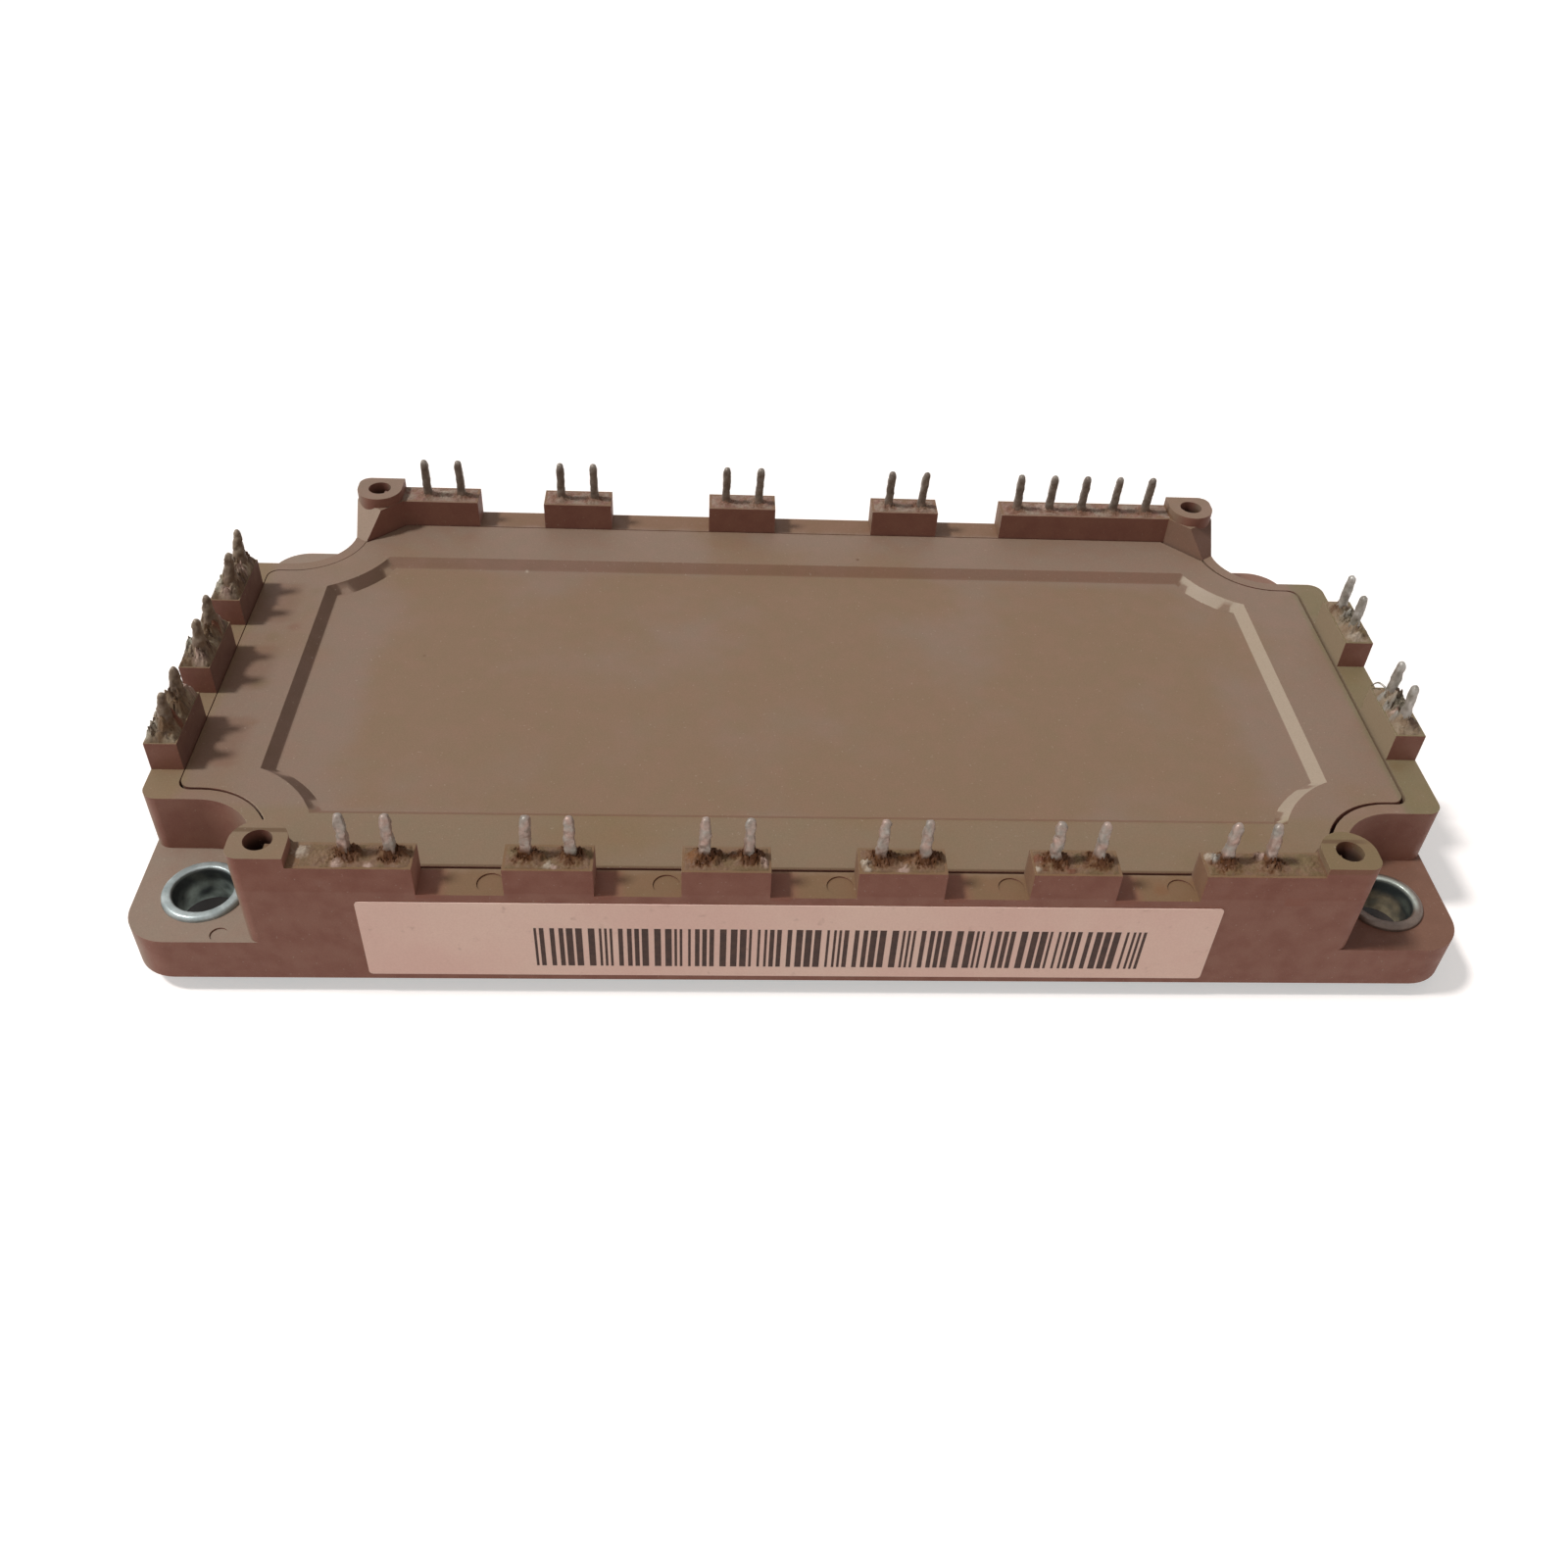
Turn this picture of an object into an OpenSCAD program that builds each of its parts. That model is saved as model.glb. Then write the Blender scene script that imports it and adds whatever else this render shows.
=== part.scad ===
// Sealed power semiconductor module: a moulded case on a metal base plate, with a flat lid, solder
// terminals round the rim and two chip-carrying ceramic substrates inside. Millimetres, +Z up.
// The origin is the centre of the base plate's underside. The label is on the -Y side.

/* [Case] */
// Overall length over the mounting ears
case_l = 122; // [116:0.5:150]
// Overall width
case_w = 62; // [58:0.5:76]
// Height of the mounting ears' top
ear_z = 6.5; // [6:0.1:8]
// Height of the rim round the lid
rim_z = 12.8; // [12.4:0.1:16]
// Height of the terminal blocks' top
block_z = 15.9; // [15:0.1:19]
// Height of the case's lower edge above the seating face
case_bottom_z = 1.8; // [1:0.1:2.4]
// Width of the two wings that carry the side terminals
wing_w = 38.6; // [36:0.2:46]
// Depth of each corner notch, from the case's end
notch_l = 11.25; // [10:0.05:13]
// Radius of the concave corner of each notch
notch_r = 6; // [4:0.5:7]
// Radius of the mounting ears' corners
ear_r = 4; // [2:0.5:5]
// Radius of the upper body's upright edges
edge_r = 1.25; // [0.5:0.25:2]
// Thickness of the long walls beside the lid
wall_y = 3.2; // [3:0.1:4]
// Thickness of the end walls beside the lid
wall_x = 3; // [3:0.1:4]
// Thickness of the rim along the notches
rim_t = 1.3; // [1:0.1:2]
// Diameter of the round ejector marks on the rim
mark_d = 2.4; // [1.6:0.1:2.6]
// Diameter of the ejector mark on the ear
ear_mark_d = 1.6; // [1:0.1:1.8]
// Depth of the ejector marks
mark_depth = 0.15; // [0.05:0.05:0.3]

/* [Mounting holes] */
// Distance from the case's edges to the middle of each mounting hole
hole_inset = 6; // [5.4:0.1:7]
// Diameter of the mounting holes
hole_d = 5.5; // [4.5:0.1:6]
// Wall of the metal bushings
bushing_t = 0.95; // [0.7:0.05:1.2]
// How far the bushings stand above the ears
bushing_proud = 0.5; // [0.2:0.1:1]

/* [Screw standoffs] */
// Distance from the body's ends to the middle of each standoff
post_inset_x = 2.5; // [2:0.05:3]
// Distance from the body's sides to the middle of each standoff
post_inset_y = 2.25; // [1.8:0.05:2.8]
// Diameter of a standoff
post_d = 5; // [4.4:0.1:6]
// Height of the standoffs' top
post_z = 17; // [16.2:0.1:20]
// Diameter of the self-tapping screw's hole
screw_d = 2.5; // [2:0.1:2.8]
// Depth of the screw's hole
screw_l = 9; // [6:0.5:10]

/* [Base plate] */
// Thickness of the base plate
plate_t = 3; // [2.5:0.1:4]
// How far the plate's edge lies inside the case's edge
plate_inset = 2; // [1.5:0.1:2.4]
// Radius of the base plate's corners
plate_r = 3.5; // [2:0.5:5]

/* [Lid] */
// Thickness of the lid
lid_t = 2; // [1.6:0.1:2.4]
// Gap between lid and rim
lid_gap = 0.2; // [0.1:0.05:0.3]
// How far the lid lies out of the middle of its pocket, towards -X and +Y
lid_shift = 0.09; // [0:0.01:0.09]
// Width of the ledge that the lid lies on
ledge_w = 1.2; // [1:0.1:1.4]
// Cut of the lid's corners beside the standoffs
lid_corner = 3.8; // [3.4:0.1:4.4]
// Margin between the recessed panel and the lid's ends
panel_margin_x = 7; // [5:0.1:12]
// Margin between the recessed panel and the lid's sides
panel_margin_y = 6.8; // [4.6:0.1:10]
// Margin between the recessed panel and the lid's edge along the notches
panel_margin_notch = 4.05; // [2:0.05:6]
// Depth of the recessed panel
panel_depth = 0.9; // [0.5:0.05:1.2]
// Width of the slope round the recessed panel
panel_slope = 1.25; // [0.8:0.05:2]

/* [Terminals] */
// Grid that the terminals stand on
grid = 3.81; // [3.5:0.01:4]
// Distance from the case's edge to the terminals' middle
pin_inset = 1.8; // [1.7:0.05:2]
// Height of the terminals' tips
tip_z = 20.5; // [19.5:0.1:24]
// Width of one prong, along the wall
pin_w = 1.15; // [0.9:0.05:1.3]
// Thickness of the terminals' sheet metal
pin_t = 1; // [0.8:0.05:1.1]
// Width of a block with two prongs
block_w = 7.7; // [7:0.1:8.5]

/* [Label] */
// Length of the label
label_l = 76.3; // [60:0.1:80]
// Height of the label
label_h = 9.4; // [6:0.1:10]
// Distance from the case's middle to the label's, along X
label_x = -1.45; // [-4:0.05:4]
// Height of the label's lower edge
label_z = 2.5; // [2.2:0.1:3]
// Thickness of the label
label_t = 0.1; // [0.05:0.05:0.2]

/* [Substrates] */
// Length of one ceramic substrate
ceramic_l = 46; // [44:0.5:47]
// Width of one ceramic substrate
ceramic_w = 40; // [39:0.5:40.5]
// Thickness of the ceramic
ceramic_t = 0.63; // [0.38:0.01:1]
// Thickness of the copper foil on each face
foil_t = 0.3; // [0.2:0.05:0.4]
// Thickness of the solder under each substrate
solder_t = 0.2; // [0.1:0.05:0.3]
// Gap between the two substrates
ceramic_gap = 2; // [1:0.5:4]

/* [Chips] */
// Side of a switch chip
igbt_s = 6.6; // [5:0.1:7]
// Side of a freewheeling diode chip
diode_s = 4.6; // [3.5:0.1:5]
// Side of a rectifier diode chip
rectifier_s = 6; // [4.5:0.1:6.6]
// Thickness of a chip with its solder
chip_t = 0.3; // [0.2:0.05:0.5]
// Diameter of a bond wire
wire_d = 0.4; // [0.3:0.05:0.5]

/* [Hidden] */
$fn = 64;

plastic = "#7d6456";
steel = "#b9bfc2";
tin = "#8c8680";
copper = "#b4764e";

// Overlap that joins two solids or lets a cut run past a face
eps = 0.05;
// How far a raised form reaches down into what carries it
root = 1;

// Case: half sizes of the upper body, of its wings and of the lid's pocket
body_x = case_l / 2 - notch_l;
body_y = case_w / 2;
wing_x = case_l / 2;
wing_y = wing_w / 2;
wing_r = 1.5;
pocket_x = body_x - rim_t;
pocket_y = body_y - wall_y;
pocket_wing_x = wing_x - wall_x;
pocket_wing_y = wing_y - rim_t;
pocket_r = 1.2;
hole_x = wing_x - hole_inset;
hole_y = body_y - hole_inset;
post_x = body_x - post_inset_x;
post_y = body_y - post_inset_y;
panel_x = pocket_wing_x - panel_margin_x;
panel_y = pocket_y - panel_margin_y;
bushing_r = hole_d / 2 + bushing_t;
bushing_fit = 0.02;
mark_margin = 0.15;
ear_mark_dx = 2.6;
plate_fit = 0.1;

// Inside: the shelf that the terminals' feet lie on, and the space for the substrates
shelf_z = 6.2;
shelf_w = 3.4;
lid_bottom_z = rim_z - lid_t;
room_x = pocket_wing_x - ledge_w - shelf_w;
room_y = pocket_y - ledge_w - shelf_w;
boss_r = notch_r + rim_t + ledge_w;
ceramic_x = (ceramic_gap + ceramic_l) / 2;
foil_z = plate_t + solder_t;
ceramic_z = foil_z + foil_t;
top_foil_z = ceramic_z + ceramic_t;
chip_z = top_foil_z + foil_t;
chip_top_z = chip_z + chip_t;

// Terminals: the rows' places, the blocks round them and the feet inside
pin_y = body_y - pin_inset;
pin_x = wing_x - pin_inset;
prong = grid / 2;
foot_l = 5.3;
foot_w = 1.8;
foot_z = shelf_z;
foot_top_z = foot_z + pin_t;
yoke_z = 10.6;
bend_z = 17;
tip_l = 0.9;
NEAR_STEPS = [-10, -6, -2, 2, 6, 10];
LEFT_STEPS = [-3, 0, 3];
RIGHT_STEPS = [-2, 2];
SIGNAL_STEPS = [-11, -10, -7, -6, -2, -1, 3, 4, 7, 8, 9, 10, 11];

// How far each tip leans along its row from where it stands, prong by prong
NEAR_LEAN = [[0, 0], [0.2, 0], [0.1, 0.1], [0.15, 0.1], [0, 0.1], [0.2, -0.1]];
LEFT_LEAN = [[-0.1, 0.2], [0, -0.2], [0.1, -0.3]];
RIGHT_LEAN = [[0.1, 0], [0.1, 0.2]];
SIGNAL_LEAN = [-0.25, -0.1, 0, 0, 0.1, 0.15, 0.1, 0.55, 0.2, 0.35, 0.4, 0.65, 0.65];

// Far blocks: [first pin, last pin] of each run of signal pins
FAR_RUNS = [[-11, -10], [-7, -6], [-2, -1], [3, 4], [7, 11]];
run_margin = (block_w - grid) / 2;

// Foil islands
island_gap = 0.8;
island_edge = 0.8;
island_l = ceramic_l - 2 * island_edge;
inverter_w = (island_l - 2 * island_gap) / 3;
rectifier_w = 9.4;
brake_w = island_l - 3 * (rectifier_w + island_gap);
pad_w = 2.2;
pad_h = 1.6;
pad_y = ceramic_w / 2 - island_edge - pad_h / 2;
far_island_y = pad_y - pad_h / 2 - island_gap;
near_island_y = ceramic_w / 2 - island_edge;
chip_y = 9;

// Bond wires: the flat foot at each end and how high the arcs rise
stitch_l = 0.9;
stitch_w = 0.6;
stitch_h = 0.5;
// How far the wires land from a foot's end, start from a chip's middle, and lie apart
foot_land = 1.2;
chip_start = 1;
cross_start = 1.5;
cross_step = 1.1;
brake_step = 0.9;
low_rise = 1;
high_rise = 1.4;
wire_pair = [-1, 1];
// How far the wires to the middle left terminal start beside the gap between the islands
centre_dodge = 1.8;

// Gel: its top, the roof of the space it leaves round the wires, and the play of that space
gel_z = 9;
gel_roof_z = 8.3;
gel_play = 0.4;

// ---- flat outlines -------------------------------------------------------------------------

// Rectangle with round corners, about the origin
module round_rect(l, w, r) {
    square([l - 2 * r, w], center = true);
    square([l, w - 2 * r], center = true);
    for (sx = [-1, 1], sy = [-1, 1]) translate([sx * (l / 2 - r), sy * (w / 2 - r)]) circle(r);
}

// Repeats its children in the four quadrants
module quadrants() {
    for (sx = [0, 1], sy = [0, 1]) mirror([sx, 0]) mirror([0, sy]) children();
}

// Body with two wings: half sizes of both, the corners' radii and the notches' concave radius
module plus_outline(bx, by, br, wx, wy, wr, nr) {
    round_rect(2 * bx, 2 * by, br);
    round_rect(2 * wx, 2 * wy, wr);
    quadrants() translate([bx - eps, wy - eps]) difference() {
        square(nr + eps);
        translate([nr + eps, nr + eps]) circle(nr);
    }
}

module case_outline() {
    plus_outline(body_x, body_y, edge_r, wing_x, wing_y, wing_r, notch_r);
}

// The lid's pocket, drawn in by `inset`: parallel to the case's outline, with its corners cut
module pocket_outline(inset) {
    difference() {
        plus_outline(
            pocket_x - inset, pocket_y - inset, 0.1, pocket_wing_x - inset, pocket_wing_y - inset,
            pocket_r, notch_r + rim_t + inset
        );
        quadrants() translate([pocket_x - inset, pocket_y - inset]) rotate(45)
            square(lid_corner * sqrt(2), center = true);
        quadrants() translate([pocket_wing_x - inset, 0]) square([case_l, case_w]);
    }
}

// The lower room, which is narrower by the shelf and keeps clear of the mounting holes
module room_outline() {
    difference() {
        square([2 * room_x, 2 * room_y], center = true);
        for (sx = [-1, 1], sy = [-1, 1]) translate([sx * hole_x, sy * hole_y]) circle(boss_r);
    }
}

// ---- case --------------------------------------------------------------------------------

module ejector_mark(x, y, z, d) {
    translate([x, y, z - mark_depth]) cylinder(d = d, h = mark_depth + eps);
}

// Ejector marks: one beside the right block of each gap on the -Y rim, and one on the ear at -X -Y
module ejector_marks() {
    reach = mark_margin + mark_d / 2;
    rim_y = reach + mark_margin - body_y;
    for (i = [1 : 5])
        ejector_mark(NEAR_STEPS[i] * grid - block_w / 2 - reach, rim_y, rim_z, mark_d);
    ejector_mark(ear_mark_dx - hole_x, mark_margin + ear_mark_d / 2 - body_y, ear_z, ear_mark_d);
}

// A terminal block on the long wall at +Y, between two places along X
module wall_block(x0, x1) {
    translate([x0, body_y - wall_y, rim_z - root]) cube([x1 - x0, wall_y, block_z - rim_z + root]);
}

// A terminal block on the end wall at +X, about the place y
module end_block(y) {
    translate([wing_x - wall_x, y - block_w / 2, rim_z - root])
        cube([wall_x, block_w, block_z - rim_z + root]);
}

// Corner web at +X +Y: it carries the standoff and slopes down to the rim beside the notch
module corner_web() {
    web_turn = 36;
    web_slope = 52;
    web_y = 3.1;
    cut = 20;
    difference() {
        translate([0, 0, rim_z - root]) linear_extrude(block_z - rim_z + root) difference() {
            intersection() {
                case_outline();
                translate([pocket_x - lid_corner - root, wing_y]) square(cut);
            }
            pocket_outline(0);
        }
        translate([body_x, body_y - web_y, block_z]) rotate([0, 0, web_turn])
            rotate([web_slope - 90, 0, 0]) translate([-cut / 2, -cut, -cut]) cube([cut, cut, 2 * cut]);
    }
}

// Standoff at +X +Y: round inside, square to the case's edge outside
module post() {
    intersection() {
        translate([post_x, post_y, rim_z - root]) {
            cylinder(d = post_d, h = post_z - rim_z + root);
            translate([-post_d / 2, 0, 0]) cube([post_d, post_d, post_z - rim_z + root]);
        }
        linear_extrude(post_z + root) case_outline();
    }
}

// The moulding before the terminals are set in it
module case_solid() {
    difference() {
        union() {
            translate([0, 0, case_bottom_z]) linear_extrude(ear_z - case_bottom_z)
                round_rect(case_l, case_w, ear_r);
            translate([0, 0, case_bottom_z]) linear_extrude(rim_z - case_bottom_z) case_outline();
            intersection() {
                union() {
                    for (run = FAR_RUNS)
                        wall_block(run[0] * grid - run_margin, run[1] * grid + run_margin);
                    mirror([0, 1, 0]) for (step = NEAR_STEPS)
                        wall_block(step * grid - block_w / 2, step * grid + block_w / 2);
                    for (s = [-1, 1])
                        mirror([s < 0 ? 1 : 0, 0, 0]) end_blocks(s < 0 ? LEFT_STEPS : RIGHT_STEPS);
                    for (sy = [0, 1]) mirror([0, sy, 0]) corner_blocks();
                }
                linear_extrude(block_z + root) case_outline();
            }
            for (sx = [0, 1], sy = [0, 1]) mirror([sx, 0, 0]) mirror([0, sy, 0]) {
                corner_web();
                post();
            }
        }
        translate([0, 0, lid_bottom_z]) linear_extrude(lid_t + eps) pocket_outline(0);
        translate([0, 0, shelf_z]) linear_extrude(rim_z - shelf_z) pocket_outline(ledge_w);
        linear_extrude(shelf_z + eps) room_outline();
        ejector_marks();
        linear_extrude(plate_t)
            round_rect(
                case_l - 2 * plate_inset + 2 * plate_fit, case_w - 2 * plate_inset + 2 * plate_fit,
                plate_r + plate_fit
            );
        for (sx = [-1, 1], sy = [-1, 1]) {
            translate([sx * hole_x, sy * hole_y, 0])
                cylinder(r = bushing_r + bushing_fit, h = ear_z + root);
            translate([sx * post_x, sy * post_y, post_z - screw_l])
                cylinder(d = screw_d, h = screw_l + root);
        }
    }
}

module end_blocks(steps) {
    for (step = steps) end_block(step * grid);
}

// The outermost blocks run on into the corner webs
module corner_blocks() {
    end_x = NEAR_STEPS[5] * grid;
    for (sx = [0, 1]) mirror([sx, 0, 0]) wall_block(end_x, pocket_x - lid_corner);
}

module case_frame() {
    color(plastic) difference() {
        case_solid();
        for (i = [0 : 5]) near_terminal(i);
        for (i = [0 : 2]) left_terminal(i);
        for (i = [0 : 1]) right_terminal(i);
        for (i = [0 : 12]) signal_pin(i);
    }
}

// ---- base, bushings, lid and label ---------------------------------------------------------

module base_plate() {
    color(copper) difference() {
        linear_extrude(plate_t) round_rect(case_l - 2 * plate_inset, case_w - 2 * plate_inset, plate_r);
        for (sx = [-1, 1], sy = [-1, 1])
            translate([sx * hole_x, sy * hole_y, -1]) cylinder(d = hole_d, h = plate_t + 2);
    }
}

// Collar round a mounting hole, with its top edge broken inside and out
module bushing(sx, sy) {
    top = ear_z + bushing_proud;
    outer = 0.35;
    inner = 0.15;
    color(steel) translate([sx * hole_x, sy * hole_y, 0]) rotate_extrude() polygon([
        [hole_d / 2, plate_t], [bushing_r, plate_t], [bushing_r, top - outer],
        [bushing_r - outer, top], [hole_d / 2 + inner, top], [hole_d / 2, top - inner]
    ]);
}

// Recess with sloping sides: a rectangle whose corners follow the notches, about the same centres
module panel_recess() {
    run = panel_slope / panel_depth;
    rise = panel_depth + eps;
    floor_x = panel_x - panel_slope;
    floor_y = panel_y - panel_slope;
    floor_r = notch_r + rim_t + panel_margin_notch + panel_slope;
    translate([0, 0, rim_z - panel_depth]) difference() {
        linear_extrude(rise, scale = [1 + run * rise / floor_x, 1 + run * rise / floor_y])
            square([2 * floor_x, 2 * floor_y], center = true);
        for (sx = [-1, 1], sy = [-1, 1])
            translate([sx * (body_x + notch_r), sy * (wing_y + notch_r), -eps])
                cylinder(r1 = floor_r + run * eps, r2 = floor_r - run * (rise + eps), h = rise + 2 * eps);
    }
}

module lid() {
    color(plastic) translate([-lid_shift, lid_shift, 0]) difference() {
        translate([0, 0, lid_bottom_z]) linear_extrude(lid_t) pocket_outline(lid_gap);
        panel_recess();
    }
}

module label() {
    color("#c8a89c") translate([label_x - label_l / 2, -body_y - label_t, label_z])
        cube([label_l, label_t, label_h]);
}

// ---- terminals ---------------------------------------------------------------------------

// One prong's face in X and Z: it stands at x and its tip leans by `lean`
module prong_face(x, z0, lean) {
    polygon([
        [x - pin_w / 2, z0], [x + pin_w / 2, z0], [x + pin_w / 2, bend_z],
        [x + pin_w / 2 + lean, tip_z - tip_l], [x + pin_w / 4 + lean, tip_z],
        [x - pin_w / 4 + lean, tip_z], [x - pin_w / 2 + lean, tip_z - tip_l],
        [x - pin_w / 2, bend_z]
    ]);
}

// A terminal stands at the origin with its foot towards -Y
module standing_sheet() {
    translate([0, pin_t / 2, 0]) rotate([90, 0, 0]) linear_extrude(pin_t) children();
}

// Two prongs on one yoke, with a foot as wide as both
module fork(leans) {
    w = grid + pin_w;
    color(tin) {
        standing_sheet() {
            translate([-w / 2, foot_z]) square([w, yoke_z - foot_z]);
            for (i = [0, 1]) prong_face((2 * i - 1) * prong, yoke_z - eps, leans[i]);
        }
        translate([-w / 2, pin_t / 2 - pin_t - foot_l, foot_z]) cube([w, foot_l + eps, pin_t]);
    }
}

module near_terminal(i) {
    translate([NEAR_STEPS[i] * grid, -pin_y, 0]) mirror([0, 1, 0]) fork(NEAR_LEAN[i]);
}

module left_terminal(i) {
    translate([-pin_x, LEFT_STEPS[i] * grid, 0]) rotate([0, 0, 90]) fork(LEFT_LEAN[i]);
}

module right_terminal(i) {
    translate([pin_x, RIGHT_STEPS[i] * grid, 0]) rotate([0, 0, -90]) fork(RIGHT_LEAN[i]);
}

// Single pin of the far row, with a foot a little wider than itself
module signal_pin(i) {
    color(tin) translate([SIGNAL_STEPS[i] * grid, pin_y, 0]) {
        standing_sheet() prong_face(0, foot_z, SIGNAL_LEAN[i]);
        translate([-foot_w / 2, pin_t / 2 - pin_t - foot_l, foot_z])
            cube([foot_w, foot_l + pin_t, pin_t]);
    }
}

// ---- substrates and chips ------------------------------------------------------------------

// Middle of the substrate on side s, -1 for the rectifier's and 1 for the inverter's
module on_substrate(s, z) {
    translate([s * ceramic_x, 0, z]) children();
}

module solder_layer(s) {
    margin = 1;
    color("silver") on_substrate(s, plate_t)
        translate([-ceramic_l / 2 + margin, -ceramic_w / 2 + margin, 0])
            cube([ceramic_l - 2 * margin, ceramic_w - 2 * margin, solder_t]);
}

module bottom_foil(s) {
    color(copper) on_substrate(s, foil_z)
        translate([-ceramic_l / 2 + island_edge, -ceramic_w / 2 + island_edge, 0])
            cube([island_l, ceramic_w - 2 * island_edge, foil_t]);
}

module ceramic(s) {
    color("white") on_substrate(s, ceramic_z) translate([-ceramic_l / 2, -ceramic_w / 2, 0])
        cube([ceramic_l, ceramic_w, ceramic_t]);
}

// Left edges and widths of the foil columns, counted from the substrate's middle
function inverter_column(i) = [-island_l / 2 + i * (inverter_w + island_gap), inverter_w];
function rectifier_column(i) = [
    -island_l / 2 + i * (rectifier_w + island_gap), i < 3 ? rectifier_w : brake_w
];
function middle(column) = column[0] + column[1] / 2;

// A column's two islands, with the far one drawn in to leave room for the pads
module islands(column) {
    translate([column[0], -near_island_y, 0]) cube([column[1], near_island_y - island_gap / 2, foil_t]);
    translate([column[0], island_gap / 2, 0]) cube([column[1], far_island_y - island_gap / 2, foil_t]);
}

// Signal pads lie on the substrate's far edge, each opposite its pin
function pad_x(i) = SIGNAL_STEPS[i] * grid;
function pins_on(s) = [for (i = [0 : 12]) if (sign(SIGNAL_STEPS[i]) == s) i];

module top_foil(s) {
    color(copper) {
        on_substrate(s, top_foil_z) {
            if (s > 0) for (i = [0 : 2]) islands(inverter_column(i));
            if (s < 0) for (i = [0 : 3]) islands(rectifier_column(i));
        }
        for (i = pins_on(s)) translate([pad_x(i) - pad_w / 2, pad_y - pad_h / 2, top_foil_z])
            cube([pad_w, pad_h, foil_t]);
    }
}

module chip(side) {
    color("dimgray") translate([-side / 2, -side / 2, 0]) cube([side, side, chip_t]);
}

// Places of the chips: inverter columns hold a switch on the left and a diode on the right
igbt_dx = -3;
diode_dx = 4;
function igbt_at(i) = [
    ceramic_x + middle(inverter_column(i % 3)) + igbt_dx, i < 3 ? -chip_y : chip_y
];
function inverter_diode_at(i) = [
    ceramic_x + middle(inverter_column(i % 3)) + diode_dx, i < 3 ? -chip_y : chip_y
];
function rectifier_at(i) = [
    -ceramic_x + middle(rectifier_column(i % 3)), i < 3 ? -chip_y : chip_y
];
brake_x = -ceramic_x + middle(rectifier_column(3));

module igbt_chip(i) {
    at = i < 6 ? igbt_at(i) : [brake_x, -chip_y];
    translate([at[0], at[1], chip_z]) chip(igbt_s);
}

module inverter_diodes() {
    for (i = [0 : 5])
        translate([inverter_diode_at(i)[0], inverter_diode_at(i)[1], chip_z]) chip(diode_s);
}

module brake_diode() {
    translate([brake_x, chip_y, chip_z]) chip(diode_s);
}

module rectifier_diodes() {
    for (i = [0 : 5]) translate([rectifier_at(i)[0], rectifier_at(i)[1], chip_z]) chip(rectifier_s);
}

// The thermistor bridges two neighbouring signal pads
module thermistor() {
    side = 0.6;
    color("darkslategray") translate([pad_x(11) - pad_w / 2, pad_y - pad_h / 2, chip_z])
        cube([grid + pad_w, side, side]);
}

// ---- bond wires and gel --------------------------------------------------------------------

// Wire between two pads: a foot on each and an arc of height `rise` over the line between them
module wire(a, b, rise) {
    lift = [0, 0, stitch_h / 2];
    p = a + lift;
    q = b + lift;
    d = q - p;
    flat = norm([d[0], d[1]]);
    chord = norm(d);
    turn = atan2(d[1], d[0]);
    tilt = atan2(d[2], flat);
    arc_r = (chord * chord / 4 + rise * rise) / (2 * rise);
    half = asin(chord / 2 / arc_r);
    for (at = [p, q]) translate(at) rotate([0, 0, turn])
        cube([stitch_l, stitch_w, stitch_h], center = true);
    translate((p + q) / 2) rotate([0, -tilt, turn]) translate([0, 0, rise - arc_r])
        rotate([90, 0, 0]) rotate([0, 0, 90 - half]) rotate_extrude(angle = 2 * half)
            translate([arc_r, 0]) circle(d = wire_d);
}

// Places of the terminals' feet, where the wires land
foot_reach = foot_l - foot_land;
function near_foot(i) = [NEAR_STEPS[i] * grid, -(pin_y - foot_reach), foot_top_z];
function far_foot(i) = [SIGNAL_STEPS[i] * grid, pin_y - foot_reach, foot_top_z];
function left_foot(i) = [-(pin_x - foot_reach), LEFT_STEPS[i] * grid, foot_top_z];
function right_foot(i) = [pin_x - foot_reach, RIGHT_STEPS[i] * grid, foot_top_z];

// From each signal pad to its pin
module pin_wires(s) {
    stitch_y = pad_y + pad_h / 2 - stitch_l / 2 - eps;
    for (i = pins_on(s)) wire([pad_x(i), stitch_y, chip_z], far_foot(i), low_rise);
}

// From an island's near edge straight out to the foot of near terminal i
module near_wires(i) {
    for (dx = wire_pair) {
        foot = near_foot(i) + [dx, 0, 0];
        wire([foot[0], stitch_l - near_island_y, chip_z], foot, low_rise);
    }
}

// From the top of a chip across the gap to the other row's island
module cross_wires(at, dx) {
    side = sign(at[1]);
    reach = island_gap / 2 + stitch_l;
    for (step = [0, 1]) {
        x = at[0] + dx * (1 + step);
        wire([x, at[1] - side * cross_start, chip_top_z], [x, -side * reach, chip_z], high_rise);
    }
}

module bond_wires_left() {
    color("gainsboro") {
        pin_wires(-1);
        for (i = [0 : 2]) {
            near_wires(i);
            cross_wires(rectifier_at(i), cross_step);
            cross_wires(rectifier_at(i + 3), -cross_step);
        }
        cross_wires([brake_x, -chip_y], cross_step);
        cross_wires([brake_x, chip_y], -brake_step);
        for (i = [0 : 2], dy = wire_pair) {
            foot = left_foot(i) + [0, dy, 0];
            start_y = LEFT_STEPS[i] == 0 ? foot[1] + centre_dodge : foot[1];
            wire([stitch_l - ceramic_x - island_l / 2, start_y, chip_z], foot, low_rise);
        }
    }
}

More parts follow.
